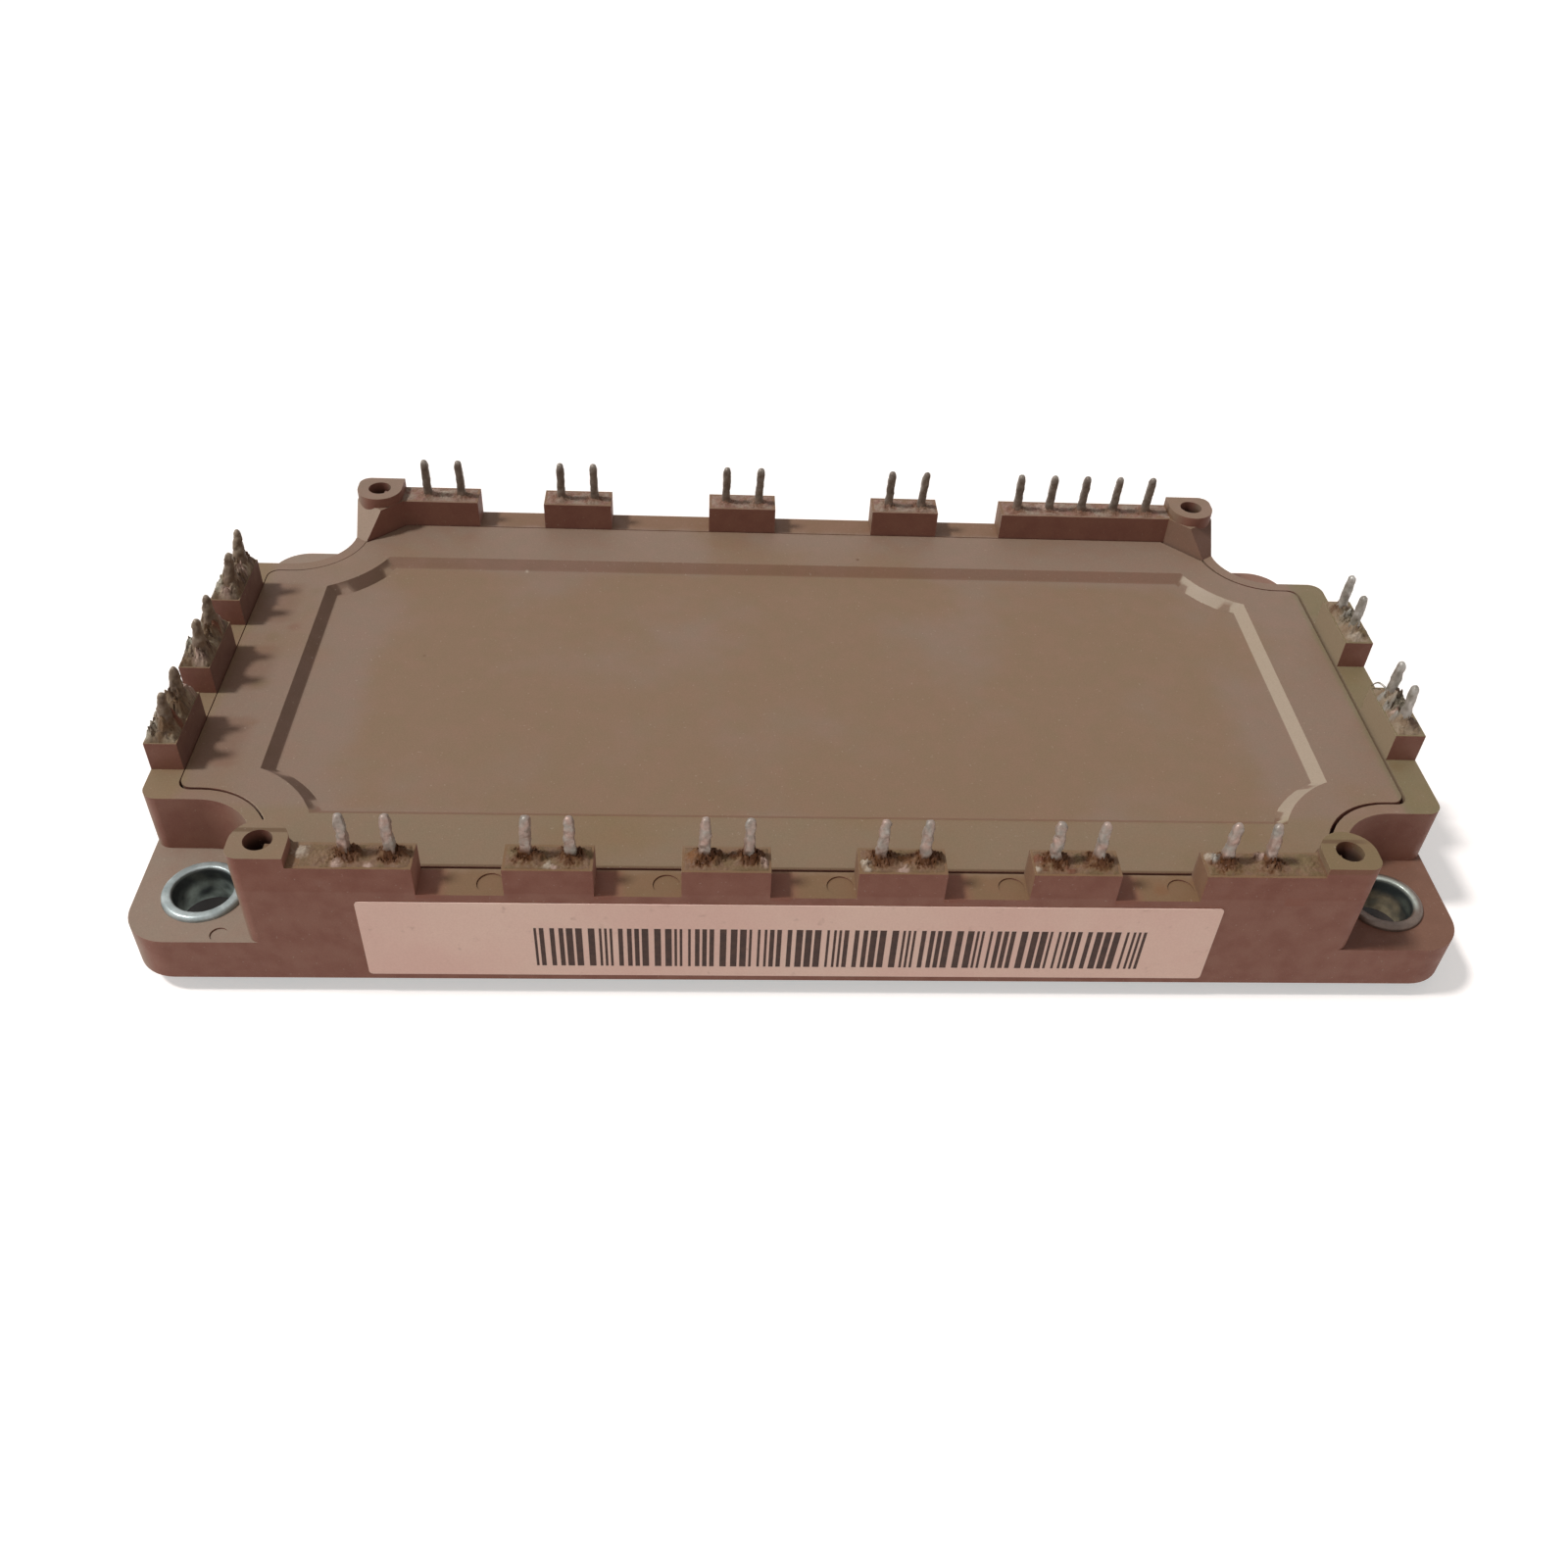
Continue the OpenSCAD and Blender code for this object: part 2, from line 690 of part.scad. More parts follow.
module bond_wires_right() {
    color("gainsboro") {
        pin_wires(1);
        for (i = [0 : 5], dy = wire_pair) {
            from = igbt_at(i);
            to = inverter_diode_at(i);
            wire(
                [from[0] + chip_start, from[1] + dy, chip_top_z],
                [to[0] - chip_start, to[1] + dy, chip_top_z], low_rise
            );
        }
        for (i = [3 : 5]) near_wires(i);
        for (i = [0 : 1], dy = wire_pair) {
            foot = right_foot(i) + [0, dy, 0];
            wire([inverter_diode_at(2)[0] + chip_start, foot[1], chip_top_z], foot, low_rise);
        }
    }
}

// Spaces that the gel leaves round the substrates, the wires and the terminals' feet
module gel_spaces() {
    h = gel_roof_z - plate_t;
    mid_x = ceramic_x + ceramic_l / 2 + gel_play;
    mid_y = ceramic_w / 2 + gel_play;
    fork_w = grid + pin_w + 2 * gel_play;
    pin_space = foot_w + 2 * gel_play;
    translate([-mid_x, -mid_y, 0]) cube([2 * mid_x, 2 * mid_y, h]);
    for (step = NEAR_STEPS) translate([step * grid - fork_w / 2, -body_y, 0]) cube([fork_w, body_y, h]);
    for (step = SIGNAL_STEPS)
        translate([step * grid - pin_space / 2, 0, 0]) cube([pin_space, body_y, h]);
    for (step = LEFT_STEPS) translate([-wing_x, step * grid - fork_w / 2, 0]) cube([wing_x, fork_w, h]);
    for (step = RIGHT_STEPS) translate([0, step * grid - fork_w / 2, 0]) cube([wing_x, fork_w, h]);
}

module silicone_gel() {
    color("lightblue", 0.4) difference() {
        union() {
            translate([0, 0, plate_t]) linear_extrude(shelf_z - plate_t) room_outline();
            translate([0, 0, shelf_z]) linear_extrude(gel_z - shelf_z) pocket_outline(ledge_w);
        }
        translate([0, 0, plate_t]) gel_spaces();
    }
}

base_plate();
case_frame();
lid();
label();
bushing(-1, -1);  // bushing_1
bushing(1, -1);  // bushing_2
bushing(1, 1);  // bushing_3
bushing(-1, 1);  // bushing_4
near_terminal(0);  // power_terminal_near_1
near_terminal(1);  // power_terminal_near_2
near_terminal(2);  // power_terminal_near_3
near_terminal(3);  // power_terminal_near_4
near_terminal(4);  // power_terminal_near_5
near_terminal(5);  // power_terminal_near_6
left_terminal(0);  // power_terminal_left_1
left_terminal(1);  // power_terminal_left_2
left_terminal(2);  // power_terminal_left_3
right_terminal(0);  // power_terminal_right_1
right_terminal(1);  // power_terminal_right_2
signal_pin(0);  // signal_pin_1
signal_pin(1);  // signal_pin_2
signal_pin(2);  // signal_pin_3
signal_pin(3);  // signal_pin_4
signal_pin(4);  // signal_pin_5
signal_pin(5);  // signal_pin_6
signal_pin(6);  // signal_pin_7
signal_pin(7);  // signal_pin_8
signal_pin(8);  // signal_pin_9
signal_pin(9);  // signal_pin_10
signal_pin(10);  // signal_pin_11
signal_pin(11);  // signal_pin_12
signal_pin(12);  // signal_pin_13
solder_layer(-1);  // solder_layer_left
solder_layer(1);  // solder_layer_right
bottom_foil(-1);  // bottom_foil_left
bottom_foil(1);  // bottom_foil_right
ceramic(-1);  // ceramic_left
ceramic(1);  // ceramic_right
top_foil(-1);  // top_foil_left
top_foil(1);  // top_foil_right
igbt_chip(0);  // igbt_chip_1
igbt_chip(1);  // igbt_chip_2
igbt_chip(2);  // igbt_chip_3
igbt_chip(3);  // igbt_chip_4
igbt_chip(4);  // igbt_chip_5
igbt_chip(5);  // igbt_chip_6
igbt_chip(6);  // igbt_chip_7
inverter_diodes();
brake_diode();
rectifier_diodes();
thermistor();
bond_wires_left();
bond_wires_right();
silicone_gel();
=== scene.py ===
"""Looks of a sealed power semiconductor module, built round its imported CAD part."""

import math

import bmesh
import bpy
from mathutils import Matrix, Vector, noise


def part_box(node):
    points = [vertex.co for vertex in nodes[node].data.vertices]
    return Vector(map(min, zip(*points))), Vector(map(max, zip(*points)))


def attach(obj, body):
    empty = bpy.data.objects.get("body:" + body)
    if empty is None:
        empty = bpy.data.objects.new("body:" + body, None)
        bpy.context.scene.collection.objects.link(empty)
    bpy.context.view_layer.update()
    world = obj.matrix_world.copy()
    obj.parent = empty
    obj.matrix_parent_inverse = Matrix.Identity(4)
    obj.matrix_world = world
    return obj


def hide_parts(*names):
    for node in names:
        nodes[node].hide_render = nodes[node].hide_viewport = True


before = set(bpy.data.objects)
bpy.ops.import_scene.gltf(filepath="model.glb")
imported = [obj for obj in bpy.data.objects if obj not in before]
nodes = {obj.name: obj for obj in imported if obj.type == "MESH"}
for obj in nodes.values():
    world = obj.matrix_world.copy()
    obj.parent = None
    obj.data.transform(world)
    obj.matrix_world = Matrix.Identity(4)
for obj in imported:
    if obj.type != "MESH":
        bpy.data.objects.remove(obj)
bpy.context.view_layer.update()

# ---- sizes, in millimetres ----

MM = 0.001


def box(name):
    """Lowest and highest corner of a CAD node, in millimetres."""
    low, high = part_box(name)
    return low / MM, high / MM


def prefixed(start):
    """Names of the CAD nodes that begin with `start`, in the order of their numbers."""
    return sorted((n for n in nodes if n.startswith(start)), key=lambda n: (len(n), n))


CASE_LOW, CASE_HIGH = box("case_frame")
LID_LOW, LID_HIGH = box("lid")
LABEL_LOW, LABEL_HIGH = box("label")
RIM_Z = LID_HIGH.z
POST_Z = CASE_HIGH.z
EAR_Z = box("bushing_1")[1].z - 0.5
BODY_Y = CASE_HIGH.y
WING_X = CASE_HIGH.x
HOLE_X, HOLE_Y = (box("bushing_3")[0].xy + box("bushing_3")[1].xy) / 2
NEAR = prefixed("power_terminal_near_")
LEFT = prefixed("power_terminal_left_")
RIGHT = prefixed("power_terminal_right_")
FAR = prefixed("signal_pin_")

# Sizes that no node's box tells, as in the part's source
BLOCK_Z, BLOCK_W = 15.9, 7.7
WALL_X, WALL_Y = 3.0, 3.2
GRID = 3.81
EDGE_R = 0.35
EAR_R = 4.0
POST_X, POST_Y = 47.25, 28.75
NOTCH_X, NOTCH_Y, NOTCH_R = 55.75, 25.3, 6.0
HOLE_R = 2.75


def middle(name):
    """Place of a terminal: the middle of its prongs, along the wall, and their row's line."""
    low, high = box(name)
    along = (low + high) / 2
    if name not in FAR:
        along = Vector([round(c / (GRID / 2)) * GRID / 2 for c in along])
    if name in NEAR:
        return Vector((along.x, low.y + 0.5, 0))
    if name in FAR:
        return Vector((low.x + 0.9, high.y - 0.5, 0))
    if name in LEFT:
        return Vector((low.x + 0.5, along.y, 0))
    return Vector((high.x - 0.5, along.y, 0))


# ---- colours and shading ----


def srgb(red, green, blue):
    """Linear colour of an sRGB colour given in 0 to 255."""
    out = []
    for c in (red, green, blue):
        c /= 255
        out.append(c / 12.92 if c < 0.04 else ((c + 0.055) / 1.055) ** 2.4)
    return Vector(out)


PLASTIC = srgb(139, 97, 82)
PLASTIC_DEEP = srgb(133, 90, 77)
# Tones of the film, which is dust and also painted light on faces towards the lamp
LIT_DUST = srgb(134, 115, 99)
LIT_DUST_OLIVE = srgb(131, 109, 86)
LIT_EAR_DUST = srgb(148, 134, 119)
TAN = srgb(130, 104, 80)
OLIVE = srgb(118, 100, 72)
BURNT = srgb(84, 50, 26)
AMBER = srgb(120, 80, 48)
RUST = srgb(114, 70, 52)
SOLDER = srgb(166, 162, 154)
SOLDER_DULL = srgb(118, 112, 98)
CHALK = srgb(178, 164, 148)
ASH = srgb(172, 170, 156)
PINKISH = srgb(184, 158, 146)
DARK_CRUST = srgb(82, 62, 50)
# Tones of painted light and shade on the moulding: highlights on faces towards the lamp, shade by
# the lid's near gap, the blocks' painted shadows, and shade in the posts' bores and the screw holes
SLOPE_HIGHLIGHT = srgb(176, 162, 143)
WING_HIGHLIGHT = srgb(151, 134, 110)
GAP_SHADE = srgb(98, 74, 52)
SHADOW_RED = srgb(134, 86, 70)
BORE_SHADE = srgb(38, 24, 20)
HOLE_SHADE = srgb(70, 58, 52)

# Stains on the moulding: place in X and Y, width, colour and strength
STAINS = (
    (-54.2, -2.2, 1.5, OLIVE, 0.55),
    (-53.4, -8.4, 1.0, AMBER, 0.3),
    (-53.0, 7.4, 1.0, RUST, 0.35),
    (-54.6, 5.6, 1.3, OLIVE, 0.45),
    (-52.0, 14.0, 1.2, OLIVE, 0.3),
    (-30.0, 19.9, 0.3, CHALK, 0.9),
    (7.6, 22.5, 0.3, BURNT, 0.8),
    (-39.0, 4.0, 0.35, BURNT, 0.4),
    (58.9, -12.5, 1.2, OLIVE, 0.5),
    (31.0, -29.6, 1.0, AMBER, 0.5),
    (-42.9, -29.9, 0.8, BURNT, 0.6),
    (-41.9, -29.8, 1.3, CHALK, 0.3),
)


def fill(tree, node, inputs):
    """Links a node's inputs to other nodes' outputs, or sets their numbers and colours."""
    for key, value in inputs.items():
        socket = node.inputs[key]
        if isinstance(value, bpy.types.NodeSocket):
            tree.links.new(value, socket)
        elif socket.type == "RGBA" and len(value) == 3:
            socket.default_value = (*value, 1)
        else:
            socket.default_value = value


def add_node(tree, kind, inputs=None, operation=None):
    """Adds a shader node with its inputs by name or number."""
    node = tree.nodes.new("ShaderNode" + kind)
    if operation:
        node.operation = operation
    fill(tree, node, inputs or {})
    return node


class Shading:
    """One material's node tree, with short calls for the nodes that it needs."""

    def __init__(self, name, rough=0.5, metal=0.0, specular=0.5):
        self.material = bpy.data.materials.new(name)
        self.material.use_nodes = True
        self.tree = self.material.node_tree
        self.shader = self.tree.nodes["Principled BSDF"]
        self.set({"Roughness": rough, "Metallic": metal, "Specular IOR Level": specular})
        coords = self.add("TexCoord").outputs
        self.place = self.vector("SCALE", {0: coords["Object"], "Scale": 1 / MM})
        self.x, self.y, self.z = self.parts(self.place)
        self.facing = self.parts(coords["Normal"])

    def add(self, kind, inputs=None, operation=None):
        return add_node(self.tree, kind, inputs, operation)

    def set(self, inputs):
        """Links or sets what the surface itself takes."""
        fill(self.tree, self.shader, inputs)

    def parts(self, value):
        """The X, Y and Z of a vector."""
        return self.add("SeparateXYZ", {0: value}).outputs[:3]

    def vector(self, operation, inputs):
        return self.add("VectorMath", inputs, operation).outputs[0]

    def math(self, operation, a, b=0.0):
        return self.add("Math", {0: a, 1: b}, operation).outputs[0]

    def noise(self, size, detail=3.0, stretch=(1, 1, 1), shift=0.0):
        """Soft noise from 0 to 1 whose features are `size` millimetres wide."""
        place = self.vector("MULTIPLY", {0: self.place, 1: stretch})
        if shift:
            place = self.vector("ADD", {0: place, 1: (shift, shift, shift)})
        inputs = {"Vector": place, "Scale": 1 / size, "Detail": detail, "Roughness": 0.55}
        return self.add("TexNoise", inputs).outputs["Fac"]

    def step(self, value, low, high):
        """0 below `low`, 1 above `high`, smooth between."""
        node = self.add("MapRange", {"Value": value, "From Min": low, "From Max": high})
        node.interpolation_type = "SMOOTHSTEP"
        return node.outputs["Result"]

    def spread(self, value, low, high):
        """Stretches 0.3 to 0.7 of a noise to `low` to `high`."""
        inputs = {"Value": value, "From Min": 0.3, "From Max": 0.7, "To Min": low, "To Max": high}
        return self.add("MapRange", inputs).outputs["Result"]

    def mix(self, share, a, b, kind="MIX"):
        node = self.tree.nodes.new("ShaderNodeMix")
        node.data_type = "RGBA"
        node.blend_type = kind
        fill(self.tree, node, {0: share, 6: a, 7: b})
        return node.outputs[2]

    def tint(self, share, colour, factors):
        """Multiplies a colour by a factor for each of its channels, as far as `share` says."""
        return self.mix(share, colour, self.mix(1.0, colour, factors, "MULTIPLY"))

    def times(self, *shares):
        """Product of several masks."""
        out = shares[0]
        for share in shares[1:]:
            out = self.math("MULTIPLY", out, share)
        return out

    def away(self, x, y, mirrored=False):
        """Distance in the floor plane from a place, or from it and its three mirror images."""
        dx, dy = self.x, self.y
        if mirrored:
            dx, dy = self.math("ABSOLUTE", dx), self.math("ABSOLUTE", dy)
        dx, dy = self.math("SUBTRACT", dx, x), self.math("SUBTRACT", dy, y)
        return self.math("SQRT", self.math("ADD", self.times(dx, dx), self.times(dy, dy)))

    def attribute(self, name):
        node = self.add("Attribute")
        node.attribute_name = name
        return node.outputs["Color"]

    def bump(self, height, distance, strength):
        inputs = {"Strength": strength, "Distance": distance * MM, "Height": height}
        self.set({"Normal": self.add("Bump", inputs).outputs["Normal"]})

    def finish(self, colour, rough):
        self.set({"Base Color": colour, "Roughness": rough})
        return self.material


# Heights between which a shade comes in on the moulding, in millimetres
ON_EARS = (8, 7)
ON_PANEL = (11.0, 11.6)
ON_RIM = (12.2, 12.6)
OVER_RIM = (12.9, 13.2)


class Moulding(Shading):
    """Material of the moulded polymer, with the noises and sides that its shades go by."""

    def __init__(self, name):
        super().__init__(name, rough=0.6, specular=0.3)
        self.broad = self.noise(14, detail=4)
        self.blotch = self.noise(2.2, detail=4, shift=7)
        self.grain = self.noise(0.16, detail=2, shift=3)
        self.tall_x, self.tall_y = self.math("ABSOLUTE", self.x), self.math("ABSOLUTE", self.y)
        self.east, _, self.up = self.facing
        self.west = self.times(self.east, -1.0)
        self.facing_up_or_lamp = self.math("MAXIMUM", self.up, self.west)
        self.on_rim = self.step(self.z, *ON_RIM)

    def ragged(self, value, reach):
        """A distance that the blotches vary by up to `reach`, for an uneven edge."""
        return self.math("ADD", value, self.times(self.blotch, reach))


def lit_dust_film(s, lit_dust_level):
    """Red-brown where clean, with a greyish film on what faces up or towards -X: dust, and painted
    light on faces towards the lamp, lighter on the left ears as painted light and thinner on the
    right ears as painted shade.
    """
    clean = s.mix(s.step(s.blotch, 0.35, 0.7), PLASTIC, PLASTIC_DEEP)
    panel = s.times(s.step(s.tall_x, 47, 41), s.step(s.tall_y, 22, 18), s.step(s.z, 11, 11.5))
    warmer = s.math("ADD", s.math("SUBTRACT", s.broad, 0.12), s.times(panel, 0.24))
    film = s.mix(s.step(warmer, 0.35, 0.65), LIT_DUST, LIT_DUST_OLIVE)
    ears = s.step(s.z, 8, 6)
    # Lighter film on the left ears, which the lamp lights: dust, and painted light
    film = s.mix(s.times(ears, s.step(s.x, 10, -10), 0.9), film, LIT_EAR_DUST)
    # The film lies on faces up or towards the lamp at -X: dust, and painted light
    lying = s.times(s.step(s.facing_up_or_lamp, 0.3, 0.92), s.spread(s.blotch, lit_dust_level - 0.12, lit_dust_level + 0.12))
    # Less film on the right ears, which lie in the body's shade: painted shade
    ear_shade = s.times(ears, s.step(s.x, 30, 50), 0.6)
    return s.mix(s.times(lying, s.math("SUBTRACT", 1.0, ear_shade)), clean, film)


def shade_outside(s, colour):
    """Darker: the near faces of the blocks, and the near right ear with a painted shadow of the
    body, most of all by the body.
    """
    front = s.times(s.step(s.up, 0.4, 0.2), s.step(s.y, -BODY_Y + 0.5, -BODY_Y),
                    s.step(s.z, *OVER_RIM))
    colour = s.tint(front, colour, (0.93, 0.85, 0.82))
    ears = s.times(s.step(s.z, *ON_EARS), s.step(s.up, 0.4, 0.9))
    # Painted shadow of the body on the near right ear, darker still towards its corner
    shady = s.times(s.step(s.x, 44, 47), s.step(s.y, -14, -20), ears)
    colour = s.tint(shady, colour, (0.75, 0.66, 0.6))
    corner = s.times(s.step(s.x, 46, 47), s.step(s.x, 57, 52), s.step(s.y, -24, -27), ears, 0.8)
    return s.tint(corner, colour, (0.74, 0.58, 0.54))


def trace_flux(s, colour):
    """Flux beside the terminals: brown along the long sides, yellowish on the wings."""
    caught = s.times(s.on_rim, s.step(s.facing_up_or_lamp, 0.5, 0.9))
    row = s.step(s.ragged(s.tall_y, 2.0), 28.2, 29.6)
    flux = s.times(row, s.step(s.z, 16.4, 16.2), caught, 0.8)
    colour = s.tint(flux, colour, (0.82, 0.66, 0.5))
    wing = s.step(s.ragged(s.tall_x, 2.0), 57.6, 59.4)
    return s.tint(s.times(wing, caught, 0.7), colour, (0.95, 0.98, 0.7))


def shade_slopes(s, colour):
    """The slopes of the lid's recess, with painted light: painted shade if they face +X, a painted
    highlight if -X, browner painted shade if neither.
    """
    tilt = s.times(s.step(s.up, 0.97, 0.93), s.step(s.up, 0.55, 0.65), s.step(s.z, *ON_PANEL))
    # Painted shade on slopes facing +X, a painted highlight on slopes facing -X, browner painted
    # shade on the others
    dark = s.times(tilt, s.step(s.east, 0.1, 0.4), 0.85)
    colour = s.tint(dark, colour, (0.36, 0.27, 0.22))
    pale = s.times(tilt, s.step(s.west, 0.1, 0.35), 0.65)
    colour = s.mix(pale, colour, SLOPE_HIGHLIGHT)
    neither = s.times(tilt, s.step(s.math("ABSOLUTE", s.east), 0.3, 0.1), 0.75)
    return s.tint(neither, colour, (0.78, 0.62, 0.55))


def shade_rim(s, colour):
    """The right wing's wall, pale as a painted highlight where it faces the lamp, the lid's near
    margin, a painted shade along its groove, and the near right post.
    """
    level = s.times(s.on_rim, s.step(s.up, 0.6, 0.9))
    olive = s.times(s.step(s.x, 56.9, 57.6), level, 0.8)
    colour = s.tint(olive, colour, (0.82, 0.96, 0.9))
    margin = s.times(s.step(s.ragged(s.y, 1.0), -18.6, -20.4), level)
    colour = s.tint(margin, colour, (0.95, 0.97, 0.84))
    # Painted light: the right wing's inner wall, which faces the lamp, is painted pale
    inner = s.times(s.step(s.x, 57.0, 57.4), s.step(s.west, 0.6, 0.9), s.step(s.z, 12.4, 12.8))
    colour = s.mix(inner, colour, WING_HIGHLIGHT)
    post = s.times(s.step(s.away(POST_X, -POST_Y), 4.4, 3.2), s.step(s.z, 16.2, 16.5))
    colour = s.tint(post, colour, (0.84, 0.86, 0.7))
    # Painted shade: a dark band along the groove between the lid and the near rim
    off = s.math("ABSOLUTE", s.math("SUBTRACT", s.y, LID_LOW.y))
    groove = s.times(s.step(off, 0.34, 0.16), s.step(s.x, 50, 48), s.step(s.z, 12.0, 12.4),
                     s.step(s.up, 0.4, 0.7), 0.85)
    return s.mix(groove, colour, GAP_SHADE)


def paint_block_shadows(s, colour):
    """Painted shadows on the ledge beside the near and left blocks, and painted shade on the left
    blocks' inner sides.
    """
    ledge = s.times(s.step(s.z, 12.2, 12.5), s.step(s.z, 13.4, 13.2))
    # Painted shadows to the +X of the near blocks, in the plain red of clean plastic
    for name in NEAR:
        beside = s.math("SUBTRACT", s.x, middle(name).x + BLOCK_W / 2)
        cast_shadow = s.times(s.step(beside, -0.2, 0.1), s.step(beside, 3.0, 1.2),
                      s.step(s.y, -27.6, -28.2), ledge, 0.9)
        colour = s.mix(cast_shadow, colour, SHADOW_RED)
    beside = s.math("SUBTRACT", s.x, -WING_X + WALL_X)
    strip = s.times(s.step(beside, -0.2, 0.1), s.step(beside, 5.4, 3.4), ledge, 0.7)
    # Painted shadows of the left blocks, as darker patches beside them
    for name in LEFT:
        along = s.math("ABSOLUTE", s.math("SUBTRACT", s.y, middle(name).y + 0.4))
        cast_shadow = s.times(s.step(s.ragged(along, 1.2), 4.7, 3.7), strip)
        colour = s.tint(cast_shadow, colour, (0.85, 0.72, 0.66))
    # Painted shade on the left blocks' inner sides, which face away from the lamp
    side = s.times(s.step(s.east, 0.5, 0.9), s.step(s.x, -57, -57.5), s.step(s.z, 12.6, 13.0))
    return s.tint(s.times(side, 0.9), colour, (0.6, 0.68, 0.7))


def stain(s, colour):
    """The stains listed above, and painted shade inside the bores in the four posts."""
    for x, y, size, tone, share in STAINS:
        edge = s.ragged(s.away(x, y), size * 1.4)
        spot = s.times(s.step(edge, size * 1.7, size * 0.6), share, s.step(s.z, 11.4, 11.8))
        colour = s.mix(spot, colour, tone)
    # Painted shade inside the posts' bores, darker below their top
    bore = s.step(s.away(POST_X, POST_Y, mirrored=True), 1.5, 1.35)
    deep = s.times(bore, s.step(s.z, POST_Z - 0.1, POST_Z - 1.6), 0.85)
    return s.mix(deep, colour, BORE_SHADE)


def plastic(name, lit_dust_level):
    """Moulded brown polymer with its film of dust and painted light, its tones, painted light and
    shade and stains, its grain and specks.
    """
    s = Moulding(name)
    colour = lit_dust_film(s, lit_dust_level)
    for lay in (shade_outside, trace_flux, shade_slopes, shade_rim, paint_block_shadows, stain):
        colour = lay(s, colour)
    colour = s.tint(s.spread(s.grain, 0.0, 0.22), colour, (0.55, 0.52, 0.5))
    speck = s.step(s.noise(0.3, detail=1, shift=21), 0.72, 0.78)
    colour = s.mix(s.times(speck, 0.25), colour, CHALK)
    rough = s.math("ADD", s.times(s.grain, 0.7), s.noise(0.07, detail=1))
    s.bump(rough, 0.02, 0.55)
    return s.finish(colour, s.spread(s.blotch, 0.52, 0.7))


def painted(name, size=0.25, depth=0.02, specular=0.45):
    """Metal, solder and flux whose colour, gloss and metal share are painted point by point."""
    s = Shading(name, specular=specular)
    metal, rough = s.add("SeparateColor", {0: s.attribute("kind")}).outputs[:2]
    grain = s.noise(size)
    colour = s.tint(s.spread(grain, 0.0, 0.4), s.attribute("tone"), (0.45, 0.42, 0.38))
    s.set({"Metallic": metal})
    s.bump(grain, depth, 0.8)
    return s.finish(colour, s.math("ADD", rough, s.spread(grain, -0.08, 0.08)))


def grained(name, colour, other, size, rough, metal=0.0, depth=0.01, specular=0.5):
    """Plain stuff with two tones and a fine grain."""
    s = Shading(name, metal=metal, specular=specular)
    broad = s.noise(size * 6, detail=4, shift=5)
    fine = s.noise(size)
    mixed = s.mix(s.step(broad, 0.3, 0.7), colour, other)
    mixed = s.tint(s.spread(fine, 0.0, 0.25), mixed, (0.6, 0.6, 0.6))
    s.bump(fine, depth, 0.6)
    return s.finish(mixed, s.spread(fine, rough - 0.07, rough + 0.07))


def plated(name):
    """Nickel plating with a grain along X, painted dark as shade in the four screw holes."""
    s = Shading(name, metal=1.0)
    broad = s.noise(3, detail=4, shift=5)
    grain = s.noise(0.5, stretch=(0.15, 2.5, 1))
    colour = s.mix(s.step(broad, 0.3, 0.7), srgb(168, 162, 150), srgb(148, 140, 126))
    colour = s.tint(s.spread(grain, 0.0, 0.25), colour, (0.6, 0.6, 0.6))
    # Painted shade inside the screw holes, dark and not metallic
    holes = s.step(s.away(HOLE_X, HOLE_Y, mirrored=True), HOLE_R + 0.35, HOLE_R + 0.05)
    dirt = s.times(holes, s.step(s.z, 0.1, 0.5))
    colour = s.mix(dirt, colour, HOLE_SHADE)
    s.set({"Metallic": s.math("SUBTRACT", 1.0, dirt)})
    s.bump(grain, 0.01, 0.6)
    return s.finish(colour, s.spread(grain, 0.29, 0.43))


# ---- pieces ----


def piece(name, mesh, material, stands_for=()):
    """Adds a mesh to the scene as a piece of the object."""
    made = bpy.data.objects.new(name, mesh)
    bpy.context.scene.collection.objects.link(made)
    mesh.materials.clear()
    mesh.materials.append(material)
    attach(made, "root")
    if stands_for:
        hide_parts(*stands_for)
    return made


def mesh_of(name, shape, smooth_angle=35):
    """Turns a bmesh in millimetres into a mesh in metres, sharp only at its steep edges."""
    for vertex in shape.verts:
        vertex.co *= MM
    shape.normal_update()
    limit = math.radians(smooth_angle)
    for face in shape.faces:
        face.smooth = True
    for edge in shape.edges:
        edge.smooth = len(edge.link_faces) == 2 and edge.calc_face_angle(0) < limit
    mesh = bpy.data.meshes.new(name)
    shape.to_mesh(mesh)
    shape.free()
    return mesh


def node_shape(name):
    """A CAD node's solid as a bmesh in millimetres, with its flat faces whole."""
    shape = bmesh.new()
    shape.from_mesh(nodes[name].data)
    for vertex in shape.verts:
        vertex.co /= MM
    bmesh.ops.remove_doubles(shape, verts=shape.verts, dist=0.002)
    bmesh.ops.dissolve_limit(
        shape, angle_limit=math.radians(0.6), verts=shape.verts, edges=shape.edges
    )
    shape.normal_update()
    return shape


def is_ridge(edge):
    """True where two faces meet in an outward edge of 25 degrees or more."""
    if len(edge.link_faces) != 2:
        return False
    a, b = edge.link_faces
    return a.normal.angle(b.normal, 0) >= math.radians(25) and edge.is_convex


def skin(shape, loops):
    """Joins each loop of points to the next with a band of faces."""
    for low, high in zip(loops, loops[1:]):
        for j in range(len(low)):
            n = (j + 1) % len(low)
            shape.faces.new((low[j], low[n], high[n], high[j]))


# ---- case and lid ----

